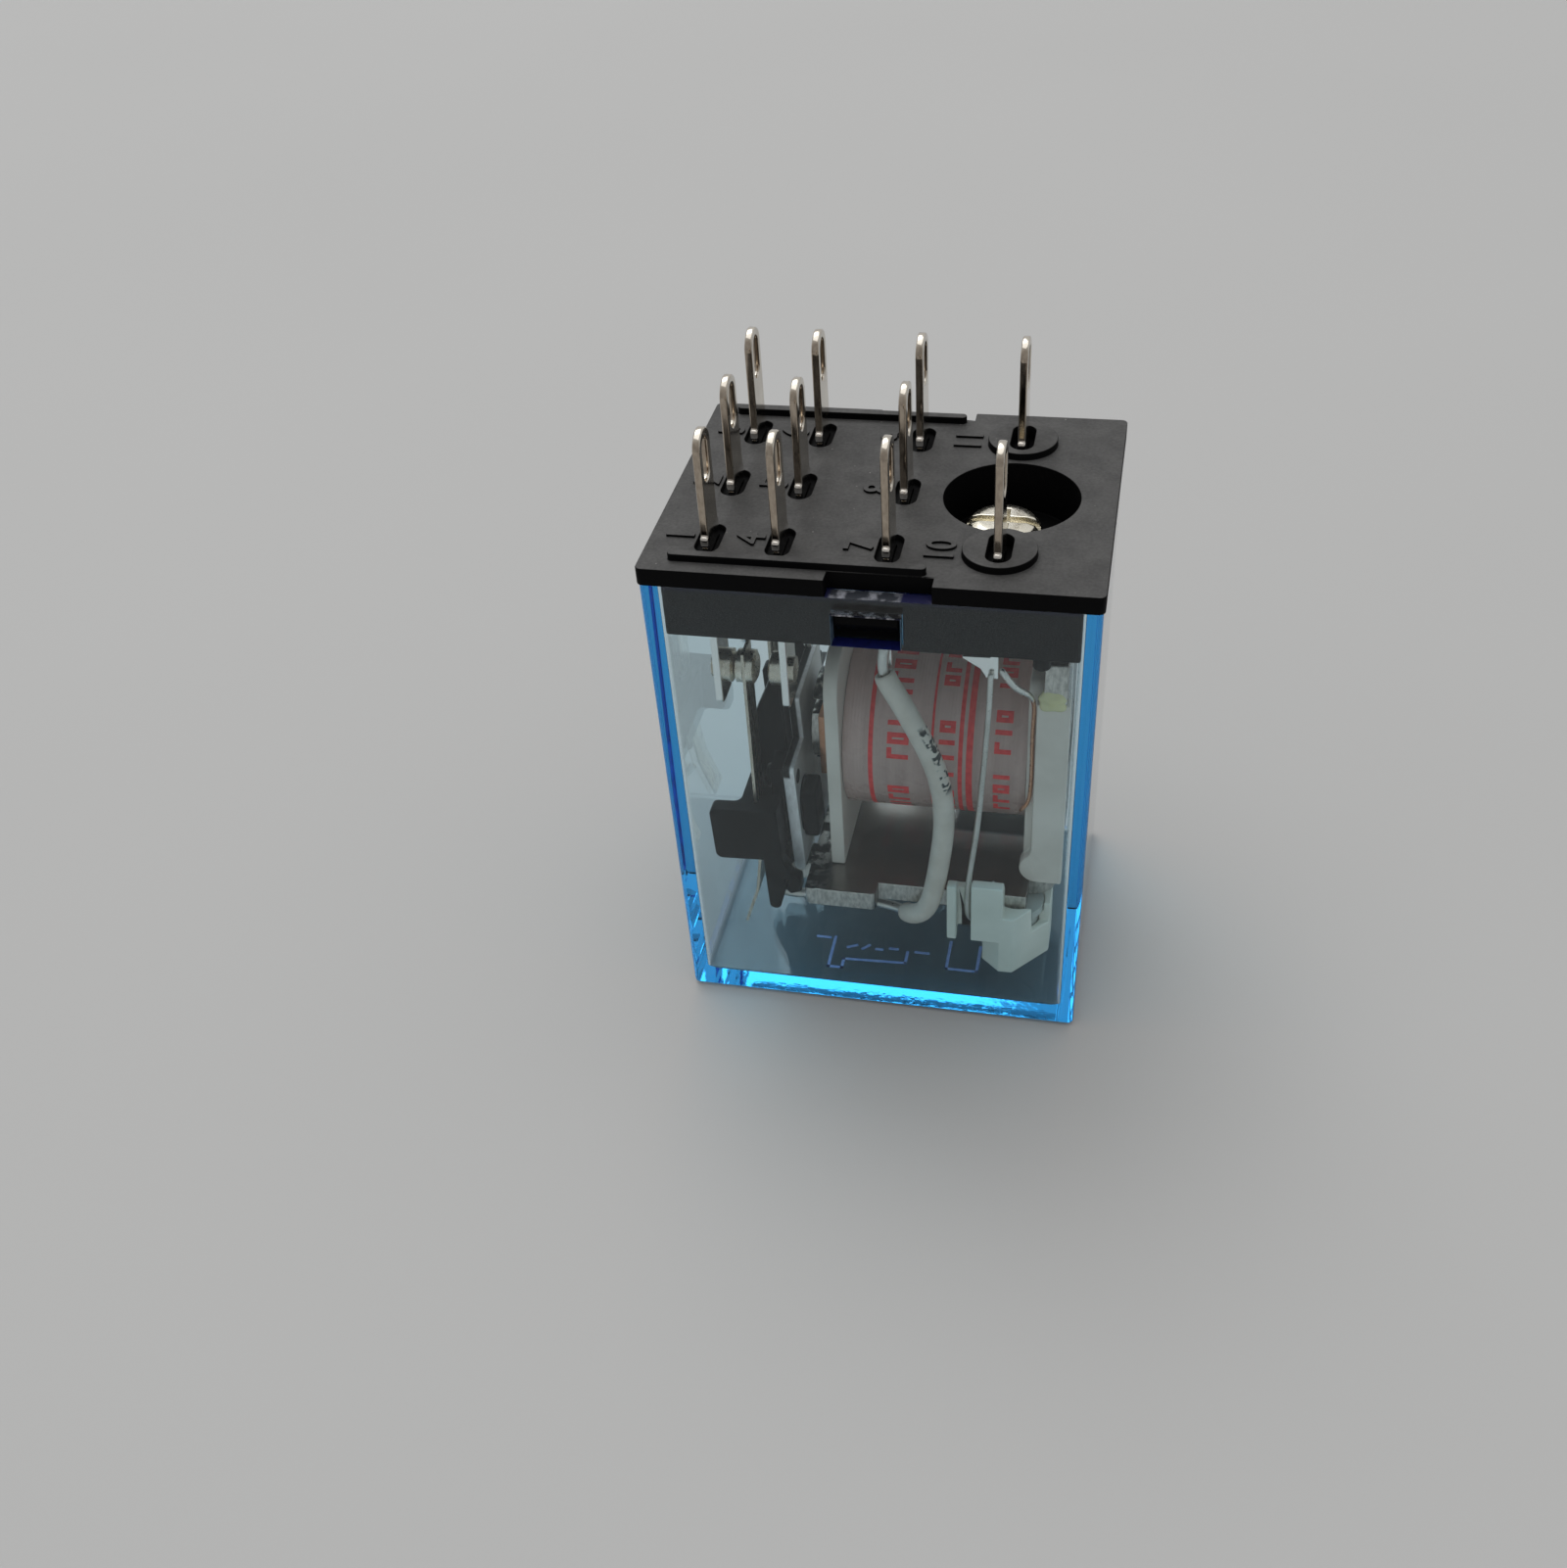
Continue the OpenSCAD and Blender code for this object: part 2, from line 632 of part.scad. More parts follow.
// Lower limb in plan: its strip, the ears and the tongues for the hinge
module limb_plan() {
    translate([yoke_end, -yoke_y]) square([arm_x-bend_r-yoke_end, 2*yoke_y]);
    translate([yoke_end+ear_l/2, 0]) rounded_square([ear_l, 2*ear_y], 0.4);
    for (s = SIDES) translate([hinge_x-1, s < 0 ? -tongue_y[1] : tongue_y[0]])
        square([yoke_end-hinge_x+2, tongue_y[1]-tongue_y[0]]);
}

// Blocks that give the strip its width: the limb's plan, the arm, its wider top and the tab
module yoke_widths() {
    beyond = 1;
    bend_x = arm_x-bend_r;
    bend_top = skirt_z-bend_r;
    translate([0, 0, yoke_z-beyond]) linear_extrude(yoke_t+beyond+hair) limb_plan();
    box([bend_x-beyond, -arm_w/2, yoke_z-beyond], [arm_x+beyond, arm_w/2, bend_top]);
    along_x(arm_x0-beyond, arm_x+beyond) translate([0, (arm_top_z+bend_top)/2])
        rounded_square([arm_top_w, bend_top-arm_top_z], 0.3);
    box([tab_x, -tab_w/2, arm_top_z], [arm_x+beyond, tab_w/2, skirt_z+beyond]);
}

module yoke() {
    color("#9a958c") difference() {
        union() {
            intersection() {
                along_y(-case_d, case_d) yoke_side();
                yoke_widths();
            }
            box([anchor_x[0], -tail_w/2, hook_z-0.9], [anchor_x[1], tail_w/2, yoke_z+hair]);
        }
        translate([hinge_x, 0, hinge_z]) rod_y(-case_d, case_d, armature_t+2*seat_gap);
        translate([screw_x, 0, skirt_z-yoke_t-hair]) cylinder(h = yoke_t+2*hair, d = screw_d+0.04);
        translate([0, 0, coil_z]) rod_x(arm_x0-hair, arm_x+hair, tenon_d+2*core_fit);
        translate([0, 0, hook_z]) rod_x(anchor_x[0]-hair, anchor_x[1]+hair, 0.9);
    }
}

// Screw that draws the yoke up to the base: domed head with a slot and a cross
module yoke_screw() {
    head_h = 1.8;
    shank_z = skirt_z-yoke_t-1.2;
    color("#d4c08a") difference() {
        translate([screw_x, 0, 0]) rotate_extrude() polygon([
            [0, shank_z], [screw_d/2-0.3, shank_z], [screw_d/2, shank_z+0.4], [screw_d/2, well_z],
            [screw_head_d/2, well_z], [screw_head_d/2, well_z+head_h-0.6],
            [screw_head_d/2-0.35, well_z+head_h-0.15], [screw_head_d/2-0.9, well_z+head_h],
            [0, well_z+head_h]]);
        translate([screw_x, 0, well_z+head_h]) {
            cube([screw_head_d+1, 0.7, 1.4], center = true);
            cube([0.7, 2.6, 2], center = true);
        }
    }
}

// Shading ring drawn as (y, z): a rectangular loop round the front half of the pole
module ring_outline(fit) {
    front = -core_d/2-core_fit-ring_w;
    translate([front+ring_size[0]/2, coil_z]) difference() {
        square(ring_size+2*fit*[1, 1], center = true);
        square(ring_size-2*(ring_w+fit)*[1, 1], center = true);
    }
}

// Core: pole grooved for the shading ring, shoulder and tenon riveted into the arm
module core() {
    color("#8f8c86") difference() {
        translate([0, 0, coil_z]) {
            rod_x(pole_x, arm_x0, core_d);
            rod_x(arm_x0-hair, arm_x-0.05, tenon_d);
        }
        along_x(pole_x-hair, ring_x[1]+core_fit) ring_outline(core_fit);
    }
}

// Copper loop, seated in the pole's grooves
module shading_ring() {
    color("#b8663c") along_x(ring_x[0], ring_x[1]) ring_outline(0);
}

// Wing of the right flange, drawn as (x, z): it hugs the yoke's arm and has a rounded foot
module wing_outline() {
    foot_r = 1.2;
    toe = 0.75;
    left = wing_left;
    right = arm_x+0.2;
    low = plate_z+0.7;
    heel = [left-toe+foot_r, low+foot_r];
    fillet = [left-foot_r, heel[1]+sqrt(pow(2*foot_r, 2)-pow(2*foot_r-toe, 2))];
    translate([left, heel[1]]) square([right-left, wing_top-heel[1]]);
    translate([heel[0], low]) square([right-heel[0], 2*foot_r]);
    translate(heel) circle(foot_r);
    difference() {
        polygon([heel, [left+hair, heel[1]], [left+hair, fillet[1]], fillet]);
        translate(fillet) circle(foot_r);
    }
}

// Flange of the bobbin, drawn as (y, z): square at the yoke, rounded above
module cheek_outline(low, r) {
    high = coil_z+cheek_rise;
    translate([0, (low+high)/2]) rounded_square([cheek_w, high-low], r);
    translate([-cheek_w/2, low]) square([cheek_w, r]);
}

module bobbin() {
    color("#dfe0d2") difference() {
        union() {
            along_x(cheek_x, cheek_x+cheek_t) cheek_outline(plate_z+core_fit, 2.6);
            along_x(arm_x0-cheek_t, arm_x0) cheek_outline(plate_z+bend_r-yoke_t+core_fit, 0.8);
            translate([0, 0, coil_z]) rod_x(cheek_x, arm_x0, barrel_d);
            for (s = SIDES) along_y(s < 0 ? -wing_y[1] : wing_y[0], s < 0 ? -wing_y[0] : wing_y[1])
                wing_outline();
        }
        translate([0, 0, coil_z]) rod_x(cheek_x-hair, arm_x0+hair, core_d+2*core_fit);
    }
}

// Hollow drum on the coil's axis, between the bobbin's flanges
module drum(d, bore) {
    x0 = cheek_x+cheek_t+core_fit;
    x1 = arm_x0-cheek_t-core_fit;
    translate([0, 0, coil_z]) difference() {
        rod_x(x0, x1, d);
        rod_x(x0-hair, x1+hair, bore);
    }
}

module winding() {
    color("#a8562b") drum(winding_d, barrel_d+2*core_fit);
}

module coil_wrap() {
    color("#d6d4cb") drum(coil_d, winding_d+2*core_fit);
}

// Armature plate in its pulled-in place, drawn as (y, z)
module armature_outline() {
    translate([-armature_w/2, hinge_z]) square([armature_w, shoulder_h-0.4]);
    translate([0, hinge_z+shoulder_h/2+0.2]) rounded_square([armature_w, shoulder_h-0.4], 0.4);
    translate([0, hinge_z+head_h/2]) rounded_square([head_w, head_h], 0.4);
    translate([0, hinge_z-tail_l/2+0.5]) rounded_square([tail_w, tail_l+1], 0.4);
}

// Bosses of the carrier that pass through the armature, drawn as (y, z)
module boss_outline(fit) {
    for (s = SIDES) translate([s*boss_y, boss_z]) slot(boss_w+2*fit, boss_h+2*fit);
}

module armature() {
    color("#b9b6ae") at_rest() difference() {
        union() {
            along_x(carrier_face, armature_face) armature_outline();
            for (s = SIDES) translate([hinge_x, s*(armature_w+tail_w)/4, hinge_z])
                rod_y((tail_w-armature_w)/4, (armature_w-tail_w)/4, armature_t);
        }
        for (s = SIDES) translate([0, s*rivet_y, rivet_z])
            rod_x(carrier_face-hair, armature_face+hair, rivet_d+0.04);
        along_x(carrier_face-hair, armature_face+hair) boss_outline(boss_fit);
        translate([0, 0, hook_z]) rod_x(carrier_face-hair, armature_face+hair, 0.9);
    }
}

// Cross bar and end levers of the carrier in plan, with a fillet where each lever leaves the bar
module bar_plan() {
    translate([bar_x, -armature_w/2]) square([carrier_face-bar_x, armature_w]);
    translate([bar_x, -lever_y]) square([lever_end-bar_x, 2*lever_y]);
    for (m = [0, 1]) mirror([0, m]) {
        translate([lever_x, lever_y-lever_t]) square([bar_x-lever_x+hair, lever_t]);
        difference() {
            translate([bar_x-lever_r, lever_y-lever_t-lever_r]) square([lever_r+hair, lever_r+hair]);
            translate([bar_x-lever_r, lever_y-lever_t-lever_r]) circle(lever_r);
        }
    }
}

// Side view of the bar and levers, drawn as (x, z)
module bar_side() {
    x1 = carrier_face+lever_r;
    translate([(lever_x+x1)/2, (bar_z+bar_top)/2]) rounded_square([x1-lever_x, bar_h], lever_r);
}

// Column beside the armature's head, drawn as (x, z), with a steep left side below its ridge
module column_side() {
    x0 = spring_x+0.15;
    polygon([[x0, bar_top-1], [carrier_face, bar_top-1], [carrier_face, column_top],
        [carrier_face-column_ridge, column_top], [x0, column_top-3.2]]);
}

// Foot below the bar, drawn as (x, z): a round toe, and a heel that reaches under the armature's end
module foot_side() {
    toe = 0.42;
    left = lever_end-1.35;
    low = yoke_z-1+toe;
    reach = yoke_end-0.3;
    difference() {
        union() {
            polygon([[left, bar_z+1], [lever_end, bar_z+1], [lever_end, bar_z], [carrier_face, bar_z-0.6],
                [carrier_face+0.2, hinge_z+0.6], [reach, hinge_z+0.3], [reach, plate_z-0.7],
                [carrier_face, plate_z-1], [lever_end, plate_z-0.6], [left+2*toe, low], [left, low]]);
            translate([left+toe, low]) circle(toe);
        }
        translate([carrier_face-0.15, plate_z]) slot(0.2, 0.6);
    }
}

module carrier_body() {
    along_y(-lever_y-1, lever_y+1) bar_side();
    for (s = SIDES) {
        c0 = s < 0 ? -column_y[1] : column_y[0];
        along_y(c0, c0+column_t) column_side();
    }
    box([carrier_face-rivet_web, -armature_w/2, bar_top-1], [carrier_face, armature_w/2, hinge_z+shoulder_h]);
}

module carrier() {
    spring_fit = 0.02;
    color("#1c1e20") difference() {
        at_rest() {
            difference() {
                intersection() {
                    carrier_body();
                    translate([0, 0, yoke_z-9]) linear_extrude(case_h) bar_plan();
                }
                for (s = SIDES) translate([0, s*rivet_y, rivet_z]) {
                    rod_x(carrier_face-3, carrier_face+hair, rivet_d+0.04);
                    rod_x(carrier_face-3, carrier_face-rivet_web, rivet_head_d+0.08);
                }
                translate([0, 0, bar_z-1]) along_x(carrier_face, armature_face+1)
                    translate([-head_w/2-0.04, 0]) square([head_w+0.08, case_h]);
                along_x(carrier_face, armature_face+1) translate([-armature_w/2-0.04, yoke_z-9])
                    square([armature_w+0.08, hinge_z+shoulder_h+0.04-yoke_z+9]);
            }
            along_x(carrier_face-0.5, armature_face-boss_fit) boss_outline(0);
            for (y = [-lever_y, lever_y-foot_t]) along_y(y, y+foot_t) foot_side();
        }
        for (p = POLES) translate([spring_x-spring_t/2-spring_fit, p*pole_pitch-spring_w/2-spring_fit, 0])
            cube([spring_t+2*spring_fit, spring_w+2*spring_fit, case_h]);
    }
}

// Two rivets that hold the carrier on the armature
module carrier_rivets() {
    grip = armature_t+rivet_web;
    color("#c2bfb6") at_rest() for (s = SIDES) translate([armature_face, s*rivet_y, rivet_z]) rotate(180)
        rotate([0, 90, 0]) rotate_extrude() polygon([
            [0, 0], [rivet_d/2, 0], [rivet_d/2, grip], [rivet_head_d/2, grip],
            [rivet_head_d/2-0.15, grip+0.4], [0, grip+0.4]]);
}

// Strip of even thickness along a line of (x, z) points
function strip(p, t) =
    let (n = len(p), across = [for (i = [0:n-1])
        let (v = unit(p[min(i+1, n-1)]-p[max(i-1, 0)])) [-v[1], v[0]]])
    concat([for (i = [0:n-1]) p[i]+across[i]*t/2], [for (i = [n-1:-1:0]) p[i]-across[i]*t/2]);

// Moving spring: straight through the carrier's bar, with a tail that kicks out below it
module moving_spring(i) {
    y = (i-2)*pole_pitch;
    top = contact_z+contact_d/2+0.4;
    line = [[spring_x, top], [spring_x, bar_z-0.6], [tail_x, yoke_z-0.6], [tail_x-1, yoke_z-3.6]];
    color("#b79a63") difference() {
        along_y(y-spring_w/2, y+spring_w/2) polygon(strip(line, spring_t));
        translate([0, y, contact_z]) rod_x(spring_x-1, spring_x+1, shank_d+0.02);
    }
}

// Moving contact: one rivet with a head on each side of its spring
module moving_contact(i) {
    edge = 0.15;
    reach = spring_t/2+moving_h;
    neck = spring_t/2+hair;
    half = [[contact_d/2, neck], [contact_d/2, reach-edge], [contact_d/2-2*edge, reach]];
    color("#d9d3bd") translate([spring_x, (i-2)*pole_pitch, contact_z]) rotate([0, 90, 0])
        rotate_extrude() polygon(concat(
            [[0, -reach]], [for (k = [2:-1:0]) [half[k][0], -half[k][1]]],
            [[shank_d/2, -neck], [shank_d/2, neck]], half, [[0, reach]]));
}

// Return spring: close turns between the armature's tail and the yoke's anchor tab, with hooked ends
module return_spring() {
    turns = 7;
    steps = 14;
    x0 = hook_x+1;
    x1 = anchor_x[0]-0.4;
    ease = 0.5/turns;
    helix = [for (k = [0:turns*steps])
        let (t = k/(turns*steps), r = coil_r*min(1, t/ease, (1-t)/ease), a = 360*turns*t)
        [x0+(x1-x0)*t, r*cos(a), hook_z+r*sin(a)]];
    left = hook_x-armature_t/2-0.4;
    right = anchor_x[1]+0.3;
    path = concat(
        [[left, 0, hook_z-0.9], [left, 0, hook_z-0.25], [left+0.25, 0, hook_z]],
        helix,
        [[right-0.25, 0, hook_z], [right, 0, hook_z-0.25], [right, 0, hook_z-0.9]]);
    color("#c7c7c3") wire(path, return_wire, 6);
}

steps_per_point = 4;
function lead_path(i) = smooth(lead_route(i), steps_per_point);

module lead(i) {
    color("#c9c4b4") wire(lead_path(i), lead_d, 8);
}

// Sleeve over the lead, short of both soldered ends
module lead_sleeve(i) {
    path = lead_path(i);
    bare_start = 4;
    bare_end = i == 8 ? 7 : 14;
    color("#e6e8e6") sleeve([for (k = [bare_start:len(path)-1-bare_end]) path[k]], sleeve_d, sleeve_bore, 8);
}

module coil_lead(i) {
    color("#b5653a") wire(smooth(coil_end_route(i == 10 ? -1 : 1), 3), coil_wire_d, 6);
}

module indicator_wire(i) {
    color("#c9c4b4") wire(smooth(i == 10 ? front_wire_route : back_wire_route, 3), wire_d, 6);
}

// Front clip drawn as (x, z): a post on the left of the wire's groove and a plate on its right
module front_clip_outline() {
    top = plate_z+1.8;
    low = tray_z+0.9;
    translate([post_x, low]) square([0.65, top-0.2-low]);
    translate([slot_x+0.25, low]) square([clip_x-slot_x-0.25, top-low]);
}

// Lamp block in plan, with its front corners cut back
module lamp_block_plan() {
    polygon([[block_x[0], -inside_d2+5], [block_x[0], 1.1-bracket_y], [block_x[0]+1.25, -bracket_y],
        [block_x[0]+2.2, -bracket_y], [block_x[1], 2.6-bracket_y], [block_x[1], -inside_d2+5]]);
}

module indicator_bracket() {
    lip = 0.7;
    groove = wire_d+0.2;
    color("#dfe3d0") difference() {
        union() {
            translate([0, 0, block_z]) linear_extrude(lamp_top-block_z) lamp_block_plan();
            translate([0, 0, lamp_top-hair]) linear_extrude(rim_h+hair) intersection() {
                lamp_block_plan();
                translate([block_x[0], -bracket_y]) square([step_x-block_x[0], bracket_y-clip_y]);
            }
            box([block_x[0]+0.5, -inside_d2+4, tray_z], [block_x[1]-0.6, bracket_y, lamp_top]);
            along_y(-bracket_y, -groove_y) front_clip_outline();
            box([post_x, -groove_y-hair, tray_z+1.6], [clip_x, -clip_y, plate_z+1]);
            box([block_x[0]+0.5, clip_y, tray_z], [block_x[1]-0.6, bracket_y, plate_z+1.2]);
            for (s = SIDES) box([block_x[0]+0.5, s < 0 ? -clip_y-0.3 : clip_y-lip, plate_z+clip_fit],
                [clip_x, s < 0 ? lip-clip_y : clip_y+0.3, plate_z+0.7]);
        }
        translate([lamp_x, lamp_y, block_z-hair]) cylinder(h = 6, d = lamp_d+0.1);
        translate([lamp_x, lamp_y, lamp_top-0.7]) cylinder(h = 3, d = lamp_d+0.7);
        box([slot_x-0.35, -lead_y-0.1-groove/2, lamp_top-0.8],
            [lamp_x-lamp_d/2-0.3, lamp_y+groove, lamp_top+0.5]);
        box([step_x, -bracket_y-hair, lamp_top-1.5], [block_x[1]+hair, 2.7-bracket_y, lamp_top+hair]);
        box([lamp_x-groove/2, lamp_y, resistor_z-groove/2], [lamp_x+groove/2, bracket_y+1, lamp_top+hair]);
        box([lamp_x-groove/2, lead_y-0.1-groove, resistor_z-groove/2],
            [lamp_x+groove/2, bracket_y+1, case_h]);
        translate([lamp_x, 0, resistor_z]) rod_y(resistor_y[0]-0.1, resistor_y[1]+0.1, resistor_d+0.1);
        box([lamp_x-resistor_d/2-0.05, resistor_y[0]-0.1, resistor_z],
            [lamp_x+resistor_d/2+0.05, resistor_y[1]+0.1, lamp_top+hair]);
    }
}

// Lamp: domed body pointing at the closed end, with a rim at its back
module indicator_lamp() {
    r = lamp_d/2;
    low = lamp_top-lamp_l;
    color("#d8f0d0") translate([lamp_x, lamp_y, 0]) rotate_extrude() union() {
        intersection() {
            translate([0, low+r]) circle(r);
            translate([0, low]) square([r, r+hair]);
        }
        translate([0, low+r]) square([r, lamp_l-r]);
        translate([0, lamp_top-0.6]) square([r+0.3, 0.6]);
    }
}

// Resistor: a waisted body between two straight wires
module indicator_resistor() {
    r = resistor_d/2;
    span = resistor_y[1]-resistor_y[0];
    color("#c9b98c") translate([lamp_x, resistor_y[0], resistor_z]) rotate([-90, 0, 0]) rotate_extrude()
        polygon([[0, -2.8], [wire_d/2, -2.8], [wire_d/2, 0], [r-0.2, 0], [r, 0.25], [r, 0.9], [r-0.15, 1.2],
            [r-0.15, span-1.2], [r, span-0.9], [r, span-0.25], [r-0.2, span], [wire_d/2, span],
            [wire_d/2, span+1.2], [0, span+1.2]]);
}

base();
cover();
for (i = [1:11]) terminal(i);
for (i = [1:3]) nc_contact(i);
for (i = [4:6]) no_contact(i);
yoke();
yoke_screw();
core();
shading_ring();
bobbin();
winding();
coil_wrap();
armature();
carrier();
carrier_rivets();
return_spring();
for (i = [1:3]) moving_spring(i);
for (i = [1:3]) moving_contact(i);
for (i = [7:9]) lead(i);
for (i = [7:9]) lead_sleeve(i);
for (i = [10:11]) coil_lead(i);
for (i = [10:11]) indicator_wire(i);
indicator_bracket();
indicator_lamp();
indicator_resistor();
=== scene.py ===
"""Looks of a plug-in relay: a clear blue cover over a coil, a hinged armature and three sets of contacts,
with eleven blade terminals on a black base. Metres, in the part's own frame, terminals up."""

import json
import math

import bmesh
import bpy
from mathutils import Matrix, Vector


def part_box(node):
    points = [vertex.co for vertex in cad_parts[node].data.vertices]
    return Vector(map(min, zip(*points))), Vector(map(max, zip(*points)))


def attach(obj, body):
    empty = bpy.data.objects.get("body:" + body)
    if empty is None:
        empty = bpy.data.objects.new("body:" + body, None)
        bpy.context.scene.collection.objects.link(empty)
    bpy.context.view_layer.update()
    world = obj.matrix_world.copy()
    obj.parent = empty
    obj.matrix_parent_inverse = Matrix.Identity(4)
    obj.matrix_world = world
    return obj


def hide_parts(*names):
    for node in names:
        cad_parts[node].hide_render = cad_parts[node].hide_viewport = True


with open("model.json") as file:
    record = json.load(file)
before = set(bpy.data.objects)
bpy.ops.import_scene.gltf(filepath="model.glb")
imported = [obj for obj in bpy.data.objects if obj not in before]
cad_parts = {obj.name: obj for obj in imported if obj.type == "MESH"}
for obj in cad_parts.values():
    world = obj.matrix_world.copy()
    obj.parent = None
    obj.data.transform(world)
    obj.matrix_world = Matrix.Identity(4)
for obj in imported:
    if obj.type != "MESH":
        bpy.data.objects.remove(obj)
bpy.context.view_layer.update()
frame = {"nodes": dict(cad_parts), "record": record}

# Units and names
MM = 0.001
FIXED = "frame"
SWINGING = "armature_group"
HINGE = frame["record"]["behaviour"]["joints"][0]
SLOT_OF = {part["node"]: part["material_slot"] for part in frame["record"]["subparts"]}
BODY_OF = {node: body for body, nodes in frame["record"]["behaviour"]["bodies"].items() for node in nodes}
TERMINALS = range(1, 12)
POLE_TERMINALS = (7, 8, 9)
COIL_TERMINALS = (10, 11)

# Camera at the photograph's view
CAMERA_AT = Vector((16.02, -92.53, 89.71))*MM
CAMERA_AZIMUTH = math.radians(14.91)
CAMERA_ELEVATION = math.radians(39.42)
CAMERA_ROLL = math.radians(-4.54)
FOCAL_PX = 1722.5
FRAME_PX = 1601
SENSOR = 36

# Coil's wrap, taken from the frame, in metres
COIL_LOW, COIL_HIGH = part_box("coil_wrap")
COIL_R = (COIL_HIGH.z-COIL_LOW.z)/2
COIL_Z = (COIL_HIGH.z+COIL_LOW.z)/2

# Heights in millimetres: the cover's rim, the base's upper face and the inside of the closed end
DISC_H = 0.5
RIM_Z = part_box("cover")[1].z/MM
TOP_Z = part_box("base")[1].z/MM-DISC_H
END_Z = 1.2

# Latch windows in the cover and the notches in the flange above them, in millimetres
WINDOW_X = (-2.13, 2.13)
WINDOW_Z = (31.35, 33.55)
NOTCH_X = (-2.38, 3.98)
WALL_Y = (9.82, 10.73)
SKIN = 0.02

# Where a look changes, in millimetres, from the start of the change to its end
# Outer faces of the skirt, which take the painted blue glow of the cover's rim
SKIRT_X = (12.0, 12.4)
SKIRT_Y = (9.0, 9.4)
SLEEVE_FRONT_Y = (-2, -1)
# Height over which painted light makes the coil's film paler
FILM_PAINTED_LIGHT_Z = (18.5, 25)
# Yoke: painted reflection and painted shadow under the coil's right end, painted shade at the hinge
YOKE_RIGHT_X = (3.6, 4.4)
YOKE_PAINTED_REFLECTION_Y = (-3.8, -2.6)
YOKE_PAINTED_SHADOW_Y = (-1.9, -1.5)
YOKE_HINGE_PAINTED_SHADE_X = (-3.4, -4.2)
# Bottom of the blades, where a painted highlight goes
BLADE_FOOT_HIGHLIGHT_Z = (TOP_Z+0.3, TOP_Z+1.0)

# Worn marks on the front sleeve and tinned ends of the coil, in millimetres, with the width of their edges
SLEEVE_MARKS_Z = (19.4, 24.8)
TINNED_FROM = 25.8
FADE = 0.4

# Tilt of the armature away from the coil at rest
REST_TILT = math.radians(HINGE["range_deg"][1])

# Height of the armature's shoulders, above which painted shade darkens the cut edges, and x at which that
# painted shade ends, in millimetres
SHOULDER_Z = 17.7
INNER_LINE = -5.36

# Most values of a noise texture lie in this span
MOST = (0.3, 0.7)

# Sockets of a node that maps one span to another
SPAN_SOCKETS = ("From Min", "From Max", "To Min", "To Max")


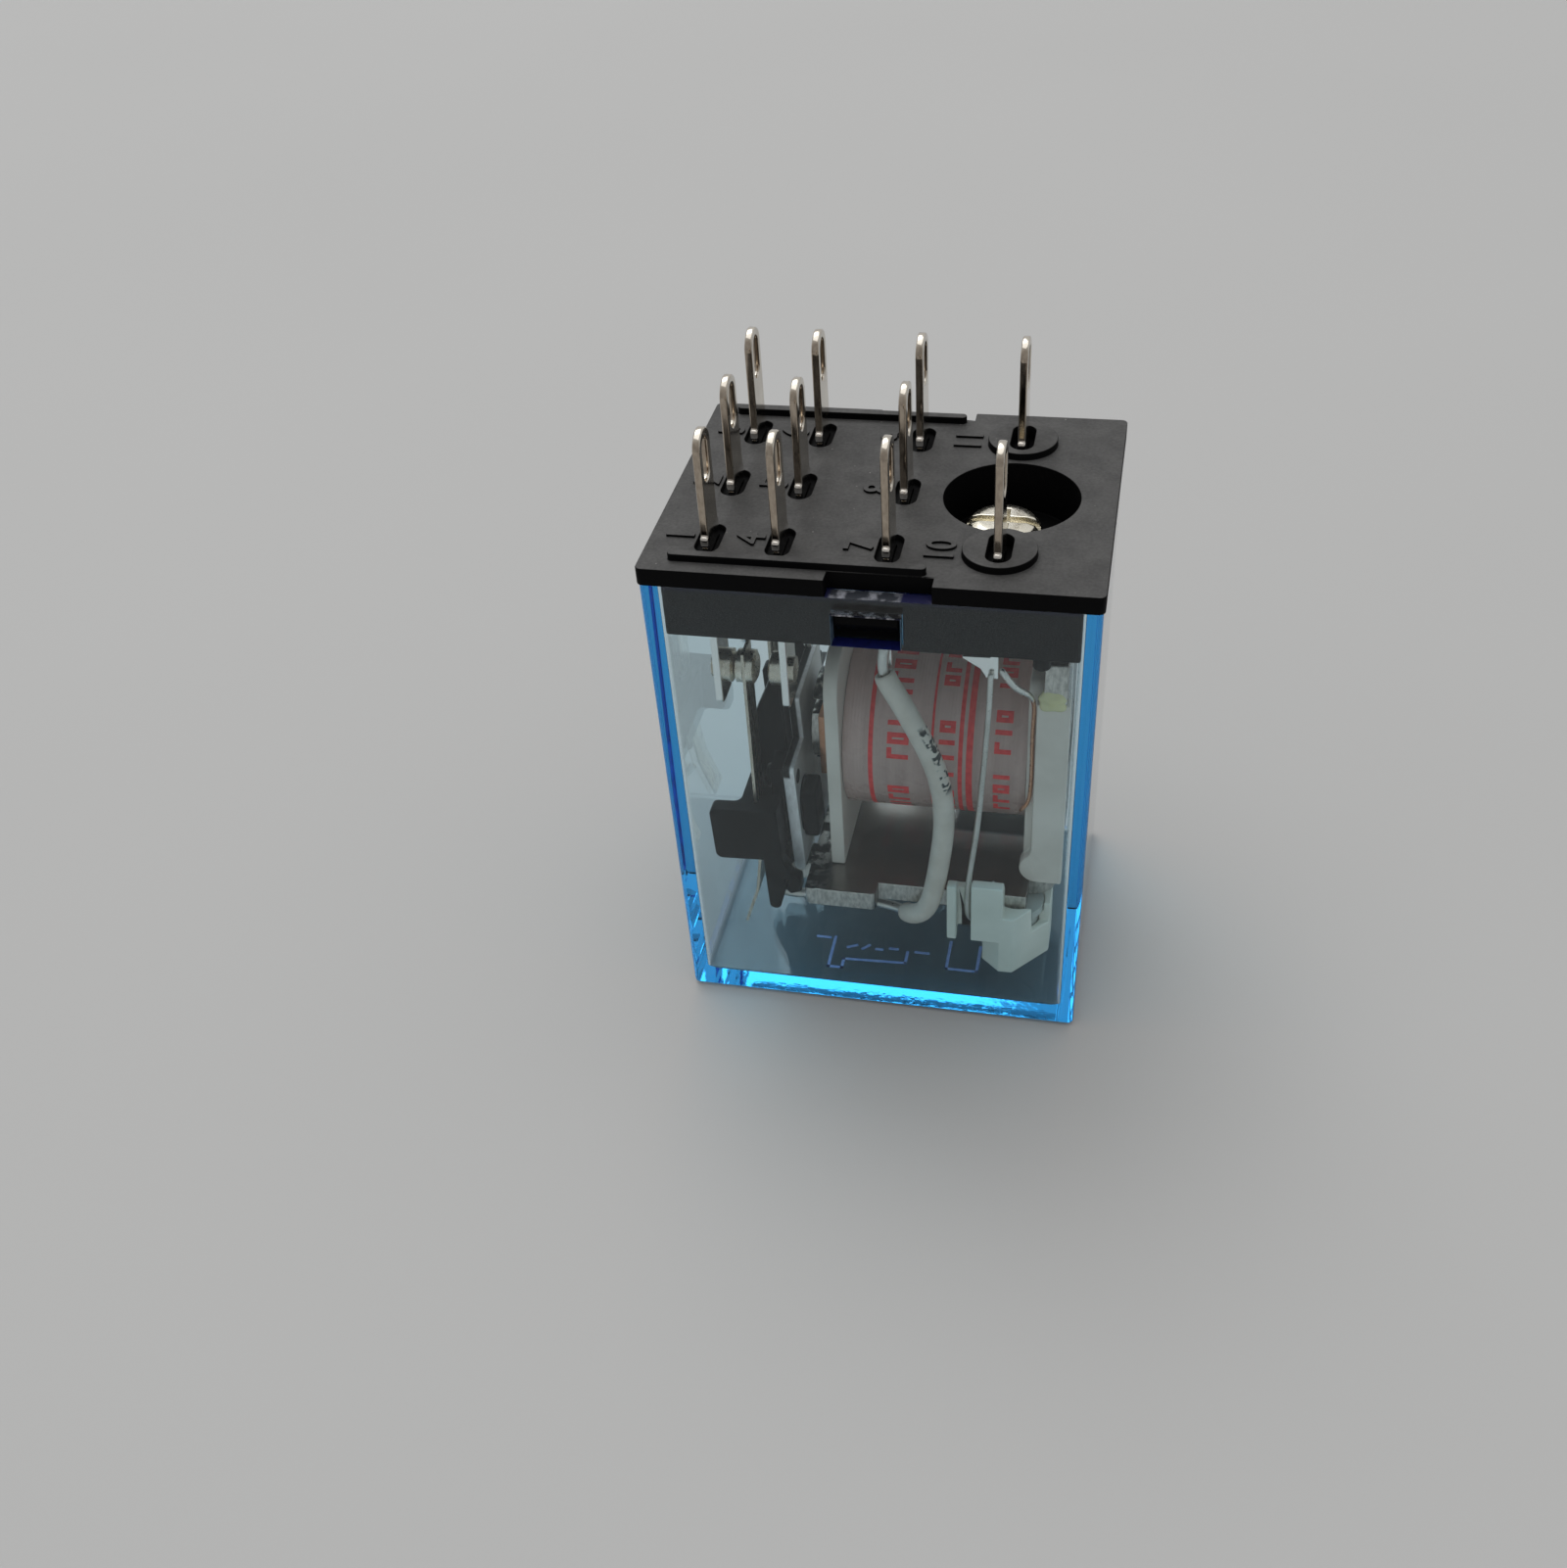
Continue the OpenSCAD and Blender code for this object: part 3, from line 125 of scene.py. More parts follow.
class Look:
    """A material in the making: one Principled shader and the textures that feed it."""

    def __init__(self, name, **sockets):
        self.material = bpy.data.materials.new(name)
        self.material.use_nodes = True
        self.tree = self.material.node_tree
        self.shader = self.tree.nodes["Principled BSDF"]
        self.output = self.tree.nodes["Material Output"]
        for socket, value in sockets.items():
            self.shader.inputs[socket.replace("_", " ")].default_value = value

    def add(self, kind, **settings):
        """New node of a kind, with its settings."""
        node = self.tree.nodes.new("ShaderNode"+kind)
        for name, value in settings.items():
            setattr(node, name, value)
        return node

    def join(self, source, target):
        """Links an output to an input."""
        self.tree.links.new(source, target)

    def feed(self, socket, source):
        """Links an output to a socket of the Principled shader."""
        self.join(source, self.shader.inputs[socket])

    def place(self, stretch=(1, 1, 1)):
        """Place on the part in millimetres, each axis times its stretch."""
        coordinates = self.add("TexCoord")
        scaled = self.add("VectorMath", operation="MULTIPLY")
        self.join(coordinates.outputs["Object"], scaled.inputs[0])
        scaled.inputs[1].default_value = [s/MM for s in stretch]
        return scaled.outputs["Vector"]

    def noise(self, scale, detail=3, stretch=(1, 1, 1)):
        """Cloudy noise, with scale features to a millimetre."""
        texture = self.add("TexNoise")
        self.join(self.place(stretch), texture.inputs["Vector"])
        texture.inputs["Scale"].default_value = scale
        texture.inputs["Detail"].default_value = detail
        return texture.outputs["Fac"]

    def specks(self, scale, size):
        """One on small scattered dots, fading at their rims, zero between them."""
        texture = self.add("TexVoronoi")
        self.join(self.place(), texture.inputs["Vector"])
        texture.inputs["Scale"].default_value = scale
        return self.span(texture.outputs["Distance"], size, size*0.6)

    def span(self, source, low, high, to_low=0, to_high=1):
        """Maps low..high of a value to to_low..to_high."""
        node = self.add("MapRange", clamp=True)
        self.join(source, node.inputs["Value"])
        for name, value in zip(SPAN_SOCKETS, (low, high, to_low, to_high)):
            node.inputs[name].default_value = value
        return node.outputs["Result"]

    def combine(self, operation, a, b=0):
        """Result of a sum on one or two values. A value is a number or an output."""
        node = self.add("Math", operation=operation)
        for socket, value in zip(node.inputs, (a, b)):
            if isinstance(value, (int, float)):
                socket.default_value = value
            else:
                self.join(value, socket)
        return node.outputs["Value"]

    def times(self, product, *values):
        """Product of all the values."""
        for value in values:
            product = self.combine("MULTIPLY", product, value)
        return product

    def blend(self, share, low, high):
        """Colour from low to high by share. A colour is three numbers or an output."""
        node = self.add("Mix", data_type="RGBA")
        self.join(share, node.inputs["Factor"])
        for socket, value in ((node.inputs[6], low), (node.inputs[7], high)):
            if isinstance(value, tuple):
                socket.default_value = (*value, 1)
            else:
                self.join(value, socket)
        return node.outputs[2]

    def either(self, share, low, high):
        """Shader low where share is zero, shader high where it is one."""
        node = self.add("MixShader")
        for socket, source in zip(node.inputs, (share, low, high)):
            self.join(source, socket)
        return node.outputs[0]

    def axis(self, name, of="Position"):
        """One axis of the place in millimetres, or of the surface's normal."""
        split = self.add("SeparateXYZ")
        if of == "Position":
            self.join(self.place(), split.inputs[0])
        else:
            coordinates = self.add("TexCoord")
            self.join(coordinates.outputs["Normal"], split.inputs[0])
        return split.outputs[name]

    def far(self, axis, low, high):
        """Zero up to low millimetres from the middle along an axis, one from high on."""
        return self.span(self.combine("ABSOLUTE", self.axis(axis)), low, high)

    def facing(self, axis, low, high):
        """Zero where the share of the normal along an axis is low, one where it is high."""
        return self.span(self.combine("ABSOLUTE", self.axis(axis, of="Normal")), low, high)

    def bump(self, height, depth):
        """Raises the surface by depth millimetres where height is one."""
        node = self.add("Bump")
        node.inputs["Strength"].default_value = 1
        node.inputs["Distance"].default_value = depth*MM
        self.join(height, node.inputs["Height"])
        self.feed("Normal", node.outputs["Normal"])


# Plastics
def moulded(name, dark, light, roughness, shine=0.5):
    """Moulded plastic: faint mottling, uneven gloss and a fine grain."""
    look = Look(name, Specular_IOR_Level=shine)
    look.feed("Base Color", look.blend(look.span(look.noise(0.35, 4), *MOST), dark, light))
    look.feed("Roughness", look.span(look.noise(1.4), *MOST, roughness-0.06, roughness+0.06))
    look.bump(look.noise(9, 2), 0.004)
    return look.material


def base_look():
    """Black plastic with a matt spark-textured top, smoother sides and a little dust. The top is painted
    much lighter than the sides and the floors of its slots and well: partly its matt texture, partly
    painted light and painted shade.
    Blue light from the cover's rim is painted on the skirt just under the flange."""
    look = Look("base_black")
    height = look.axis("Z")
    upward = look.span(look.axis("Z", of="Normal"), 0.6, 0.9)
    on_top = look.times(upward, look.span(height, TOP_Z-0.4, TOP_Z-0.1))
    look.feed("Specular IOR Level", look.span(on_top, 0, 1, 0.05, 0.22))
    spark = look.span(look.noise(5), *MOST, -0.15, 0.15)
    mottle = look.span(look.combine("ADD", look.noise(0.5, 4), spark), *MOST)
    # Painted light: the top's colour, much lighter than the sides', goes only on the upper face; the
    # floors of the slots and well keep the sides' near black as painted shade. Part of the difference is
    # the top's matt spark texture.
    top = look.blend(mottle, (0.050, 0.0495, 0.049), (0.078, 0.077, 0.0755))
    # Painted light: blue glow from the cover's rim on the skirt's outer faces just under the flange
    rim_glow_band = look.times(look.span(height, RIM_Z-0.8, RIM_Z-0.05),
                           look.span(height, RIM_Z-0.02, RIM_Z, 1, 0))
    outside = look.combine("MAXIMUM", look.far("X", *SKIRT_X), look.far("Y", *SKIRT_Y))
    sides = look.blend(look.times(rim_glow_band, outside), (0.003, 0.003, 0.0033), (0.006, 0.008, 0.07))
    dust = look.times(look.specks(1.1, 0.07), look.span(look.noise(0.6), 0.52, 0.6), on_top)
    look.feed("Base Color", look.blend(dust, look.blend(on_top, sides, top), (0.24, 0.23, 0.22)))
    look.feed("Roughness", look.span(look.noise(3), *MOST, 0.46, 0.6))
    look.bump(look.noise(7), 0.012)
    return look.material


def cover_look():
    """Clear plastic dyed blue: the dye shows in the walls' edges, where the light goes a long way.
    The closed end is slightly rippled and lets less light through."""
    look = Look("cover_blue", Base_Color=(1, 1, 1, 1), Roughness=0.0, IOR=1.42, Transmission_Weight=1.0)
    height = look.axis("Z")
    look.bump(look.times(look.noise(1.6), look.span(height, END_Z-0.3, END_Z+0.2, 1, 0)), 0.003)
    walls = look.span(height, END_Z-0.1, END_Z+0.1)
    clear = look.add("BsdfTransparent")
    look.join(look.blend(walls, (0.34, 0.375, 0.41), (0.95, 0.975, 0.99)), clear.inputs["Color"])
    path = look.add("LightPath")
    surface = look.shader.outputs[0]
    for ray in ("Is Shadow Ray", "Is Diffuse Ray"):
        surface = look.either(path.outputs[ray], surface, clear.outputs[0])
    look.join(surface, look.output.inputs["Surface"])
    dye = look.add("VolumeAbsorption")
    dye.inputs["Color"].default_value = (0.05, 0.735, 0.97, 1)
    dye.inputs["Density"].default_value = 150
    look.join(dye.outputs[0], look.output.inputs["Volume"])
    return look.material


def sleeve_look():
    """Milky sleeving with a few worn dark marks along one side of the front one."""
    look = Look("sleeve_white", Roughness=0.38, Specular_IOR_Level=0.4)
    milk = look.blend(look.span(look.noise(0.8, 4), *MOST), (0.64, 0.53, 0.44), (0.75, 0.635, 0.54))
    height = look.axis("Z")
    low, high = SLEEVE_MARKS_Z
    zone = look.times(look.span(height, low, low+FADE), look.span(height, high, high-FADE))
    front = look.span(look.axis("Y"), *SLEEVE_FRONT_Y, 1, 0)
    side = look.span(look.axis("X", of="Normal"), 0.35, 0.5)
    flecks = look.span(look.noise(1.5, 1, (1, 1, 1.6)), 0.49, 0.54)
    look.feed("Base Color", look.blend(look.times(zone, front, side, flecks), milk, (0.02, 0.02, 0.02)))
    look.bump(look.noise(5, 2), 0.004)
    return look.material


# Pitch of the coil's turns under the film, in millimetres
TURN_PITCH = 0.22


def wrap_look():
    """Film over the winding: warm grey with soft bands where the turns show, painted paler towards its top
    as painted light against the shade under the skirt.
    """
    look = Look("wrap_grey", Specular_IOR_Level=0.4)
    bands = look.span(look.noise(0.9, 3, (1, 0.12, 0.12)), 0.35, 0.65)
    # Painted light: the film's colour is lighter at the top than at the bottom
    low = look.blend(bands, (0.44, 0.29, 0.25), (0.545, 0.375, 0.325))
    high = look.blend(bands, (0.66, 0.43, 0.37), (0.80, 0.55, 0.49))
    look.feed("Base Color", look.blend(look.span(look.axis("Z"), *FILM_PAINTED_LIGHT_Z), low, high))
    look.feed("Roughness", look.span(look.noise(0.7), *MOST, 0.22, 0.34))
    look.bump(look.combine("SINE", look.times(look.axis("X"), 2*math.pi/TURN_PITCH)), 0.004)
    return look.material


def ink_look(name, thin, thick):
    """Printing ink of uneven cover, also used for the painted glow on the latch windows' faces."""
    look = Look(name, Roughness=0.45)
    look.feed("Base Color", look.blend(look.span(look.noise(2.5, 4), 0.35, 0.65), thin, thick))
    return look.material


def scuff_look():
    """Plastic whitened where a tool has bruised it, dark between the bruises."""
    look = Look("scuffed", Roughness=0.35)
    bruise = look.span(look.noise(1.7, 5, (1, 0.6, 1)), 0.5, 0.62)
    look.feed("Base Color", look.blend(bruise, (0.012, 0.014, 0.03), (0.62, 0.62, 0.66)))
    look.bump(look.noise(3), 0.05)
    return look.material


def lip_look():
    """Cover's upper edge in the notch: painted shade in dark blue, worn grey over the window."""
    look = Look("lip_shade_and_wear", Roughness=0.4)
    beside = look.far("X", WINDOW_X[1]-0.1, WINDOW_X[1]+0.1)
    scratches = look.span(look.noise(1.6, 5, (1, 0.7, 1)), 0.5, 0.66)
    grey = look.blend(scratches, (0.035, 0.04, 0.05), (0.30, 0.31, 0.35))
    look.feed("Base Color", look.blend(beside, grey, (0.012, 0.013, 0.06)))
    look.bump(look.noise(3), 0.04)
    return look.material


def glue_look():
    """Glossy amber glue."""
    look = Look("glue_amber", Roughness=0.18, IOR=1.5, Specular_IOR_Level=0.6)
    look.feed("Base Color", look.blend(look.noise(1.2), (0.66, 0.58, 0.27), (0.76, 0.70, 0.44)))
    look.bump(look.noise(2, 2), 0.02)
    return look.material


def lamp_look():
    """Cloudy glass of the indicator lamp."""
    look = Look("lamp_glass", IOR=1.5, Transmission_Weight=0.4, Roughness=0.12)
    look.feed("Base Color", look.blend(look.noise(0.8), (0.70, 0.74, 0.68), (0.84, 0.86, 0.80)))
    return look.material


# Metals
def tarnished(look, dark, light):
    """Colour of a metal's face, from dark to light in soft clouds."""
    return look.blend(look.span(look.noise(0.5, 5), 0.32, 0.68), dark, light)


def metal(name, dark, light, roughness, streak=(1, 1, 1)):
    """Bare or plated metal with streaks along the axis whose stretch is small."""
    look = Look(name, Metallic=1.0)
    look.feed("Base Color", tarnished(look, dark, light))
    lines = look.noise(6, 3, streak)
    look.feed("Roughness", look.span(lines, *MOST, roughness*0.75, roughness*1.3))
    look.bump(lines, 0.002)
    return look.material


def cut_edges(look, edge, face, dark, light):
    """Gives a stamping its colour: face, with torn metal from dark to light on its cut edges. Returns the
    height of the torn metal."""
    tear = look.noise(4.5, 4, (1, 1, 0.4))
    torn = look.blend(look.span(tear, 0.35, 0.65), dark, light)
    look.feed("Base Color", look.blend(edge, face, torn))
    return look.times(edge, tear)


def yoke_look():
    """Rolled steel strip, brown and smooth. Under the right end of the coil it has a painted reflection of
    the film and, nearer the coil, a painted shadow; at the hinge it has painted shade with painted glints."""
    look = Look("yoke_steel", Metallic=1.0)
    along = look.axis("X")
    across = look.axis("Y")
    right = look.span(along, *YOKE_RIGHT_X)
    # Painted reflection of the coil's film in a band, then a painted shadow under the coil
    bright = look.times(right, look.span(across, *YOKE_PAINTED_REFLECTION_Y))
    painted_shadow = look.times(right, look.span(across, *YOKE_PAINTED_SHADOW_Y))
    face = tarnished(look, (0.215, 0.185, 0.165), (0.285, 0.25, 0.225))
    face = look.blend(bright, face, (0.70, 0.65, 0.61))
    face = look.blend(painted_shadow, face, (0.02, 0.02, 0.018))
    # Painted shade with painted glints at the hinge
    glints = look.span(look.noise(1.3), 0.46, 0.58)
    painted_shade_and_glints = look.blend(glints, (0.008, 0.008, 0.008), (0.80, 0.77, 0.72))
    face = look.blend(look.span(along, *YOKE_HINGE_PAINTED_SHADE_X), face, painted_shade_and_glints)
    torn = cut_edges(look, look.facing("Y", 0.6, 0.8), face, (0.42, 0.39, 0.36), (0.70, 0.66, 0.61))
    lines = look.noise(6, 3, (0.08, 1, 1))
    rolled = look.span(lines, *MOST, 0.264, 0.272)
    look.feed("Roughness", look.combine("ADD", rolled, look.times(torn, 0.2)))
    look.bump(look.combine("ADD", look.times(lines, 0.025), torn), 0.004)
    return look.material


def armature_look():
    """Matt plated steel with bright cut edges. Above the shoulders painted shade makes the cut edges dark,
    but for a line at the inner face."""
    look = Look("armature_steel", Metallic=0.5)
    height = look.axis("Z")
    through = look.combine("ADD", look.axis("X"), look.times(height, math.tan(REST_TILT)))
    # Painted shade: the cut edges above the shoulders are dark
    dark = look.times(look.span(through, INNER_LINE-0.05, INNER_LINE+0.05, 1, 0),
                      look.span(height, SHOULDER_Z, SHOULDER_Z+0.2))
    low = look.blend(dark, (0.82, 0.77, 0.75), (0.008, 0.007, 0.006))
    high = look.blend(dark, (0.95, 0.91, 0.89), (0.016, 0.014, 0.012))
    face = tarnished(look, (0.70, 0.66, 0.63), (0.86, 0.82, 0.79))
    torn = cut_edges(look, look.facing("X", 0.75, 0.55), face, low, high)
    look.feed("Roughness", look.span(look.noise(6, 3, (1, 1, 0.1)), *MOST, 0.32, 0.46))
    look.bump(torn, 0.003)
    return look.material


def terminal_look():
    """Nickel plate on brass, which shows at the cut edges, and painted almost white at the bottom of the
    blade as a painted highlight.
    """
    look = Look("terminal_nickel", Metallic=1.0)
    # Painted highlight: the blade is almost white near the base
    foot_highlight = look.span(look.axis("Z"), *BLADE_FOOT_HIGHLIGHT_Z, 1, 0)
    plate = tarnished(look, (0.52, 0.48, 0.42), (0.66, 0.615, 0.54))
    face, low, high = (look.blend(foot_highlight, colour, (0.95, 0.93, 0.90))
                       for colour in (plate, (0.36, 0.30, 0.24), (0.48, 0.41, 0.33)))
    torn = cut_edges(look, look.facing("Y", 0.6, 0.8), face, low, high)
    look.feed("Roughness", look.span(look.noise(6, 3, (1, 1, 0.1)), *MOST, 0.1, 0.16))
    look.bump(torn, 0.001)
    return look.material


def coil_end_look():
    """Enamelled copper, tinned near its terminal."""
    look = Look("coil_end", Metallic=1.0)
    cloud = look.noise(1.5)
    copper = look.blend(cloud, (0.56, 0.27, 0.15), (0.78, 0.44, 0.28))
    tin = look.blend(cloud, (0.66, 0.64, 0.60), (0.82, 0.80, 0.76))
    tinned = look.span(look.axis("Z"), TINNED_FROM, TINNED_FROM+FADE)
    look.feed("Base Color", look.blend(tinned, copper, tin))
    look.feed("Roughness", look.span(look.noise(3), *MOST, 0.24, 0.4))
    look.bump(look.noise(4, 2), 0.006)
    return look.material


# The look of each material slot
LOOKS = {
    "base_plastic": base_look(),
    "cover_clear": cover_look(),
    "terminal_plate": terminal_look(),
    "contact_silver": metal("contact_silver", (0.52, 0.44, 0.35), (0.84, 0.79, 0.69), 0.3),
    "frame_steel": yoke_look(),
    "armature_steel": armature_look(),
    "screw_plate": metal("screw_zinc", (0.74, 0.70, 0.58), (0.92, 0.885, 0.79), 0.24),
    "copper": metal("copper", (0.52, 0.24, 0.13), (0.72, 0.38, 0.24), 0.32, (1, 0.15, 0.15)),
    "bobbin_plastic": moulded("bobbin_cream", (0.71, 0.615, 0.53), (0.82, 0.72, 0.63), 0.42),
    "wrap_film": wrap_look(),
    "carrier_plastic": moulded("carrier_black", (0.001, 0.0012, 0.0015), (0.002, 0.0023, 0.0026), 0.36,
                               shine=0.06),
    "spring_steel": metal("spring_steel", (0.50, 0.50, 0.48), (0.66, 0.66, 0.64), 0.3),
    "spring_bronze": metal("spring_bronze", (0.48, 0.42, 0.34), (0.64, 0.58, 0.49), 0.28, (1, 1, 0.08)),
    "sleeve_plastic": sleeve_look(),
    "tinned_wire": metal("wire_tinned", (0.58, 0.56, 0.52), (0.76, 0.74, 0.70), 0.34),
    "bracket_plastic": moulded("bracket_cream", (0.70, 0.685, 0.59), (0.81, 0.785, 0.69), 0.4),
    "lamp_glass": lamp_look(),
    "resistor_coat": moulded("resistor_tan", (0.46, 0.38, 0.22), (0.60, 0.52, 0.34), 0.3),
}

# Looks of what differs from its slot
RED_INK = ink_look("ink_red", (0.95, 0.06, 0.055), (0.78, 0.02, 0.024))
PALE_INK = ink_look("ink_pale", (0.22, 0.36, 0.80), (0.34, 0.50, 0.95))
GLUE = glue_look()
COIL_END = coil_end_look()
SCUFF = scuff_look()
# Painted glow of the light that the cover's wall carries to the latch windows' lower edges and jambs
RIM_PAINTED_GLOW = ink_look("rim_painted_glow", (0.004, 0.007, 0.07), (0.007, 0.012, 0.12))
JAMB_PAINTED_GLOW = ink_look("jamb_painted_glow", (0.05, 0.09, 0.14), (0.13, 0.19, 0.26))
LIP_SHADE_AND_WEAR = lip_look()
RIVET = metal("rivet_black", (0.012, 0.012, 0.012), (0.03, 0.03, 0.03), 0.4)

# How meshes are cleaned, rounded and shaded
WELD = 0.0005*MM
ROUND_PROFILE = 0.5
FLAT_ANGLE = math.radians(0.6)
CORNER_ANGLE = math.radians(32)
SMOOTH_ANGLE = math.radians(35)
ANY_ANGLE = math.radians(180)
QUAD_FACE_ANGLE = math.radians(50)
QUAD_SHAPE_ANGLE = math.radians(60)

# Nodes whose flat faces have openings, so their triangles stay as they are
PIERCED = ("base", "carrier", "bobbin")

# Skin of solder on the coil's ends, in millimetres
SOLDER_SKIN = 0.11


# Pieces
def show(name, mesh, material, body):
    """Puts a mesh on the part as a piece that moves with a body."""
    piece = bpy.data.objects.new(name, mesh)
    bpy.context.scene.collection.objects.link(piece)
    mesh.materials.clear()
    mesh.materials.append(material)
    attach(piece, body)
    return piece


def welded(node):
    """A copy of a node's mesh with its seams closed."""
    bm = bmesh.new()
    bm.from_mesh(frame["nodes"][node].data)
    bmesh.ops.remove_doubles(bm, verts=bm.verts, dist=WELD)
    return bm


def finished(bm, name, smooth_angle=SMOOTH_ANGLE):
    """Mesh with smooth shading across every edge below an angle."""
    mesh = bpy.data.meshes.new(name)
    bm.to_mesh(mesh)
    bm.free()
    mesh.shade_smooth()
    mesh.set_sharp_from_angle(angle=smooth_angle)
    return mesh


def dressed(node, edge, segments=2):
    """A copy of a CAD node with its edges rounded by edge millimetres, shown in its place."""
    bm = welded(node)
    if node not in PIERCED:
        bmesh.ops.dissolve_limit(bm, angle_limit=FLAT_ANGLE, verts=bm.verts, edges=bm.edges)
    corners = [e for e in bm.edges if e.is_manifold and e.calc_face_angle() > CORNER_ANGLE]
    bmesh.ops.bevel(bm, geom=corners, offset=edge*MM, offset_type="OFFSET", segments=segments,
                    profile=ROUND_PROFILE, affect="EDGES", clamp_overlap=False)
    name = node+"_finish"
    piece = show(name, finished(bm, name), LOOKS[SLOT_OF[node]], BODY_OF[node])
    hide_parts(node)
    even = piece.modifiers.new("even", "WEIGHTED_NORMAL")
    even.keep_sharp = True


def rounded_tube(node, radius, sides, material=None, tinned_from=None):
    """A copy of a swept CAD tube with round sides, at the same outer radius in millimetres.
    Above the height tinned_from a skin of solder thickens it."""
    bm = welded(node)
    if tinned_from:
        bm.normal_update()
        for v in bm.verts:
            v.co += v.normal*SOLDER_SKIN*MM*min(1, max(0, v.co.z/MM-tinned_from))
    bmesh.ops.triangulate(bm, faces=bm.faces)
    bmesh.ops.join_triangles(bm, faces=bm.faces, angle_face_threshold=QUAD_FACE_ANGLE,
                             angle_shape_threshold=QUAD_SHAPE_ANGLE)
    piece = show(node+"_round", finished(bm, node+"_draft", ANY_ANGLE), material or LOOKS[SLOT_OF[node]],
                 BODY_OF[node])
    smooth = piece.modifiers.new("smooth", "SUBSURF")
    smooth.levels = smooth.render_levels = 2
    # Subdivision draws a ring's corner in by a third of its height over the chord of its neighbours
    swell = piece.modifiers.new("swell", "DISPLACE")
    swell.mid_level = 0
    swell.strength = radius*MM*(1-math.cos(2*math.pi/sides))/3
    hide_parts(node)


def box_into(bm, *spans):
    """Adds a box between three pairs of millimetres."""
    low, high = (Vector(span[end] for span in spans)*MM for end in (0, 1))
    for v in bmesh.ops.create_cube(bm, size=1)["verts"]:
        v.co = Vector(low[i]+(v.co[i]+0.5)*(high[i]-low[i]) for i in range(3))


# Terminal numbers, moulded on the base beside the blades, in millimetres
BLADE_T = 0.5
NUMBER_HEIGHT = 1.75
NUMBER_RELIEF = 0.14
NUMBER_SINK = 0.04
NUMBER_SWELL = 0.025
NUMBER_ROUND = 0.02
NUMBER_GAP = 1.75
NUMBER_GAP_AT_DISC = 3.45
FIGURE_SHARE = 0.7


def terminal_number(i):
    """Raised number left of a blade, reading from front to back. FIGURE_SHARE is the height of a figure
    in a font of size one."""
    low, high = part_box(f"terminal_{i}")
    gap = NUMBER_GAP_AT_DISC if i in COIL_TERMINALS else NUMBER_GAP
    curve = bpy.data.curves.new(f"number_{i}", "FONT")
    curve.body = str(i)
    curve.align_x = "CENTER"
    curve.align_y = "CENTER"
    curve.size = NUMBER_HEIGHT*MM/FIGURE_SHARE
    curve.offset = NUMBER_SWELL*MM
    curve.extrude = (NUMBER_RELIEF+NUMBER_SINK)/2*MM
    curve.bevel_depth = NUMBER_ROUND*MM
    text = bpy.data.objects.new(f"number_{i}_text", curve)
    bpy.context.scene.collection.objects.link(text)
    bpy.context.view_layer.update()
    mesh = bpy.data.meshes.new_from_object(text.evaluated_get(bpy.context.evaluated_depsgraph_get()))
    bpy.data.objects.remove(text)
    x = high.x-(BLADE_T/2+gap)*MM
    y = (low.y+high.y)/2
    z = (TOP_Z+(NUMBER_RELIEF-NUMBER_SINK)/2)*MM
    mesh.transform(Matrix.Translation((x, y, z)) @ Matrix.Rotation(math.radians(90), 4, "Z"))
    show(f"number_{i}", mesh, LOOKS["base_plastic"], FIXED)


# Print on the coil's wrap, in millimetres: rules round the drum at x, each with its width, and rows of
# simple marks between them, each from x to x, starting at an arc
PRINT_LIFT = 0.004
PRINT_THICK = 0.01
PRINT_STEP = 0.35
PRINT_START = -5.5
PRINT_GAP = 2.5
PRINT_END = PRINT_START+2*math.pi*COIL_R/MM-PRINT_GAP
RULES = [(-0.85, 0.3), (3.25, 0.16), (5.15, 0.28), (5.75, 0.42)]
MARK_ROWS = [
    (0.25, 1.7, -5.2, "ring bar step ring gap gap step ring bar gap bar step"),
    (3.7, 4.75, -5.2, "step bar ring ring gap step bar bar ring gap gap ring step bar"),
    (7.35, 8.45, -3.2, "step step ring bar gap step bar ring gap bar ring"),
]
MARK_WIDTH = 0.8
MARK_PITCH = 1.05
STROKE = 0.33


def on_drum(x, arc, lift):
    """Point x along the wrap's axis, arc up from its front and lift off it, in millimetres."""
    turn = arc*MM/COIL_R
    reach = COIL_R+lift*MM
    return Vector((x*MM, -reach*math.cos(turn), COIL_Z+reach*math.sin(turn)))


def drum_patch(bm, x0, x1, arc0, arc1):
    """Adds a thin curved patch, in millimetres along the drum's axis and round it."""
    under = PRINT_LIFT
    over = PRINT_LIFT+PRINT_THICK
    corners = [(x0, under), (x1, under), (x1, over), (x0, over)]
    steps = max(1, math.ceil((arc1-arc0)/PRINT_STEP))
    arcs = [arc0+(arc1-arc0)*k/steps for k in range(steps+1)]
    rows = [[bm.verts.new(on_drum(x, arc, lift)) for x, lift in corners] for arc in arcs]
    for a, b in zip(rows, rows[1:]):
        for j in range(4):
            bm.faces.new((a[j], a[(j+1) % 4], b[(j+1) % 4], b[j]))
    bm.faces.new(rows[0][::-1])
    bm.faces.new(rows[-1])


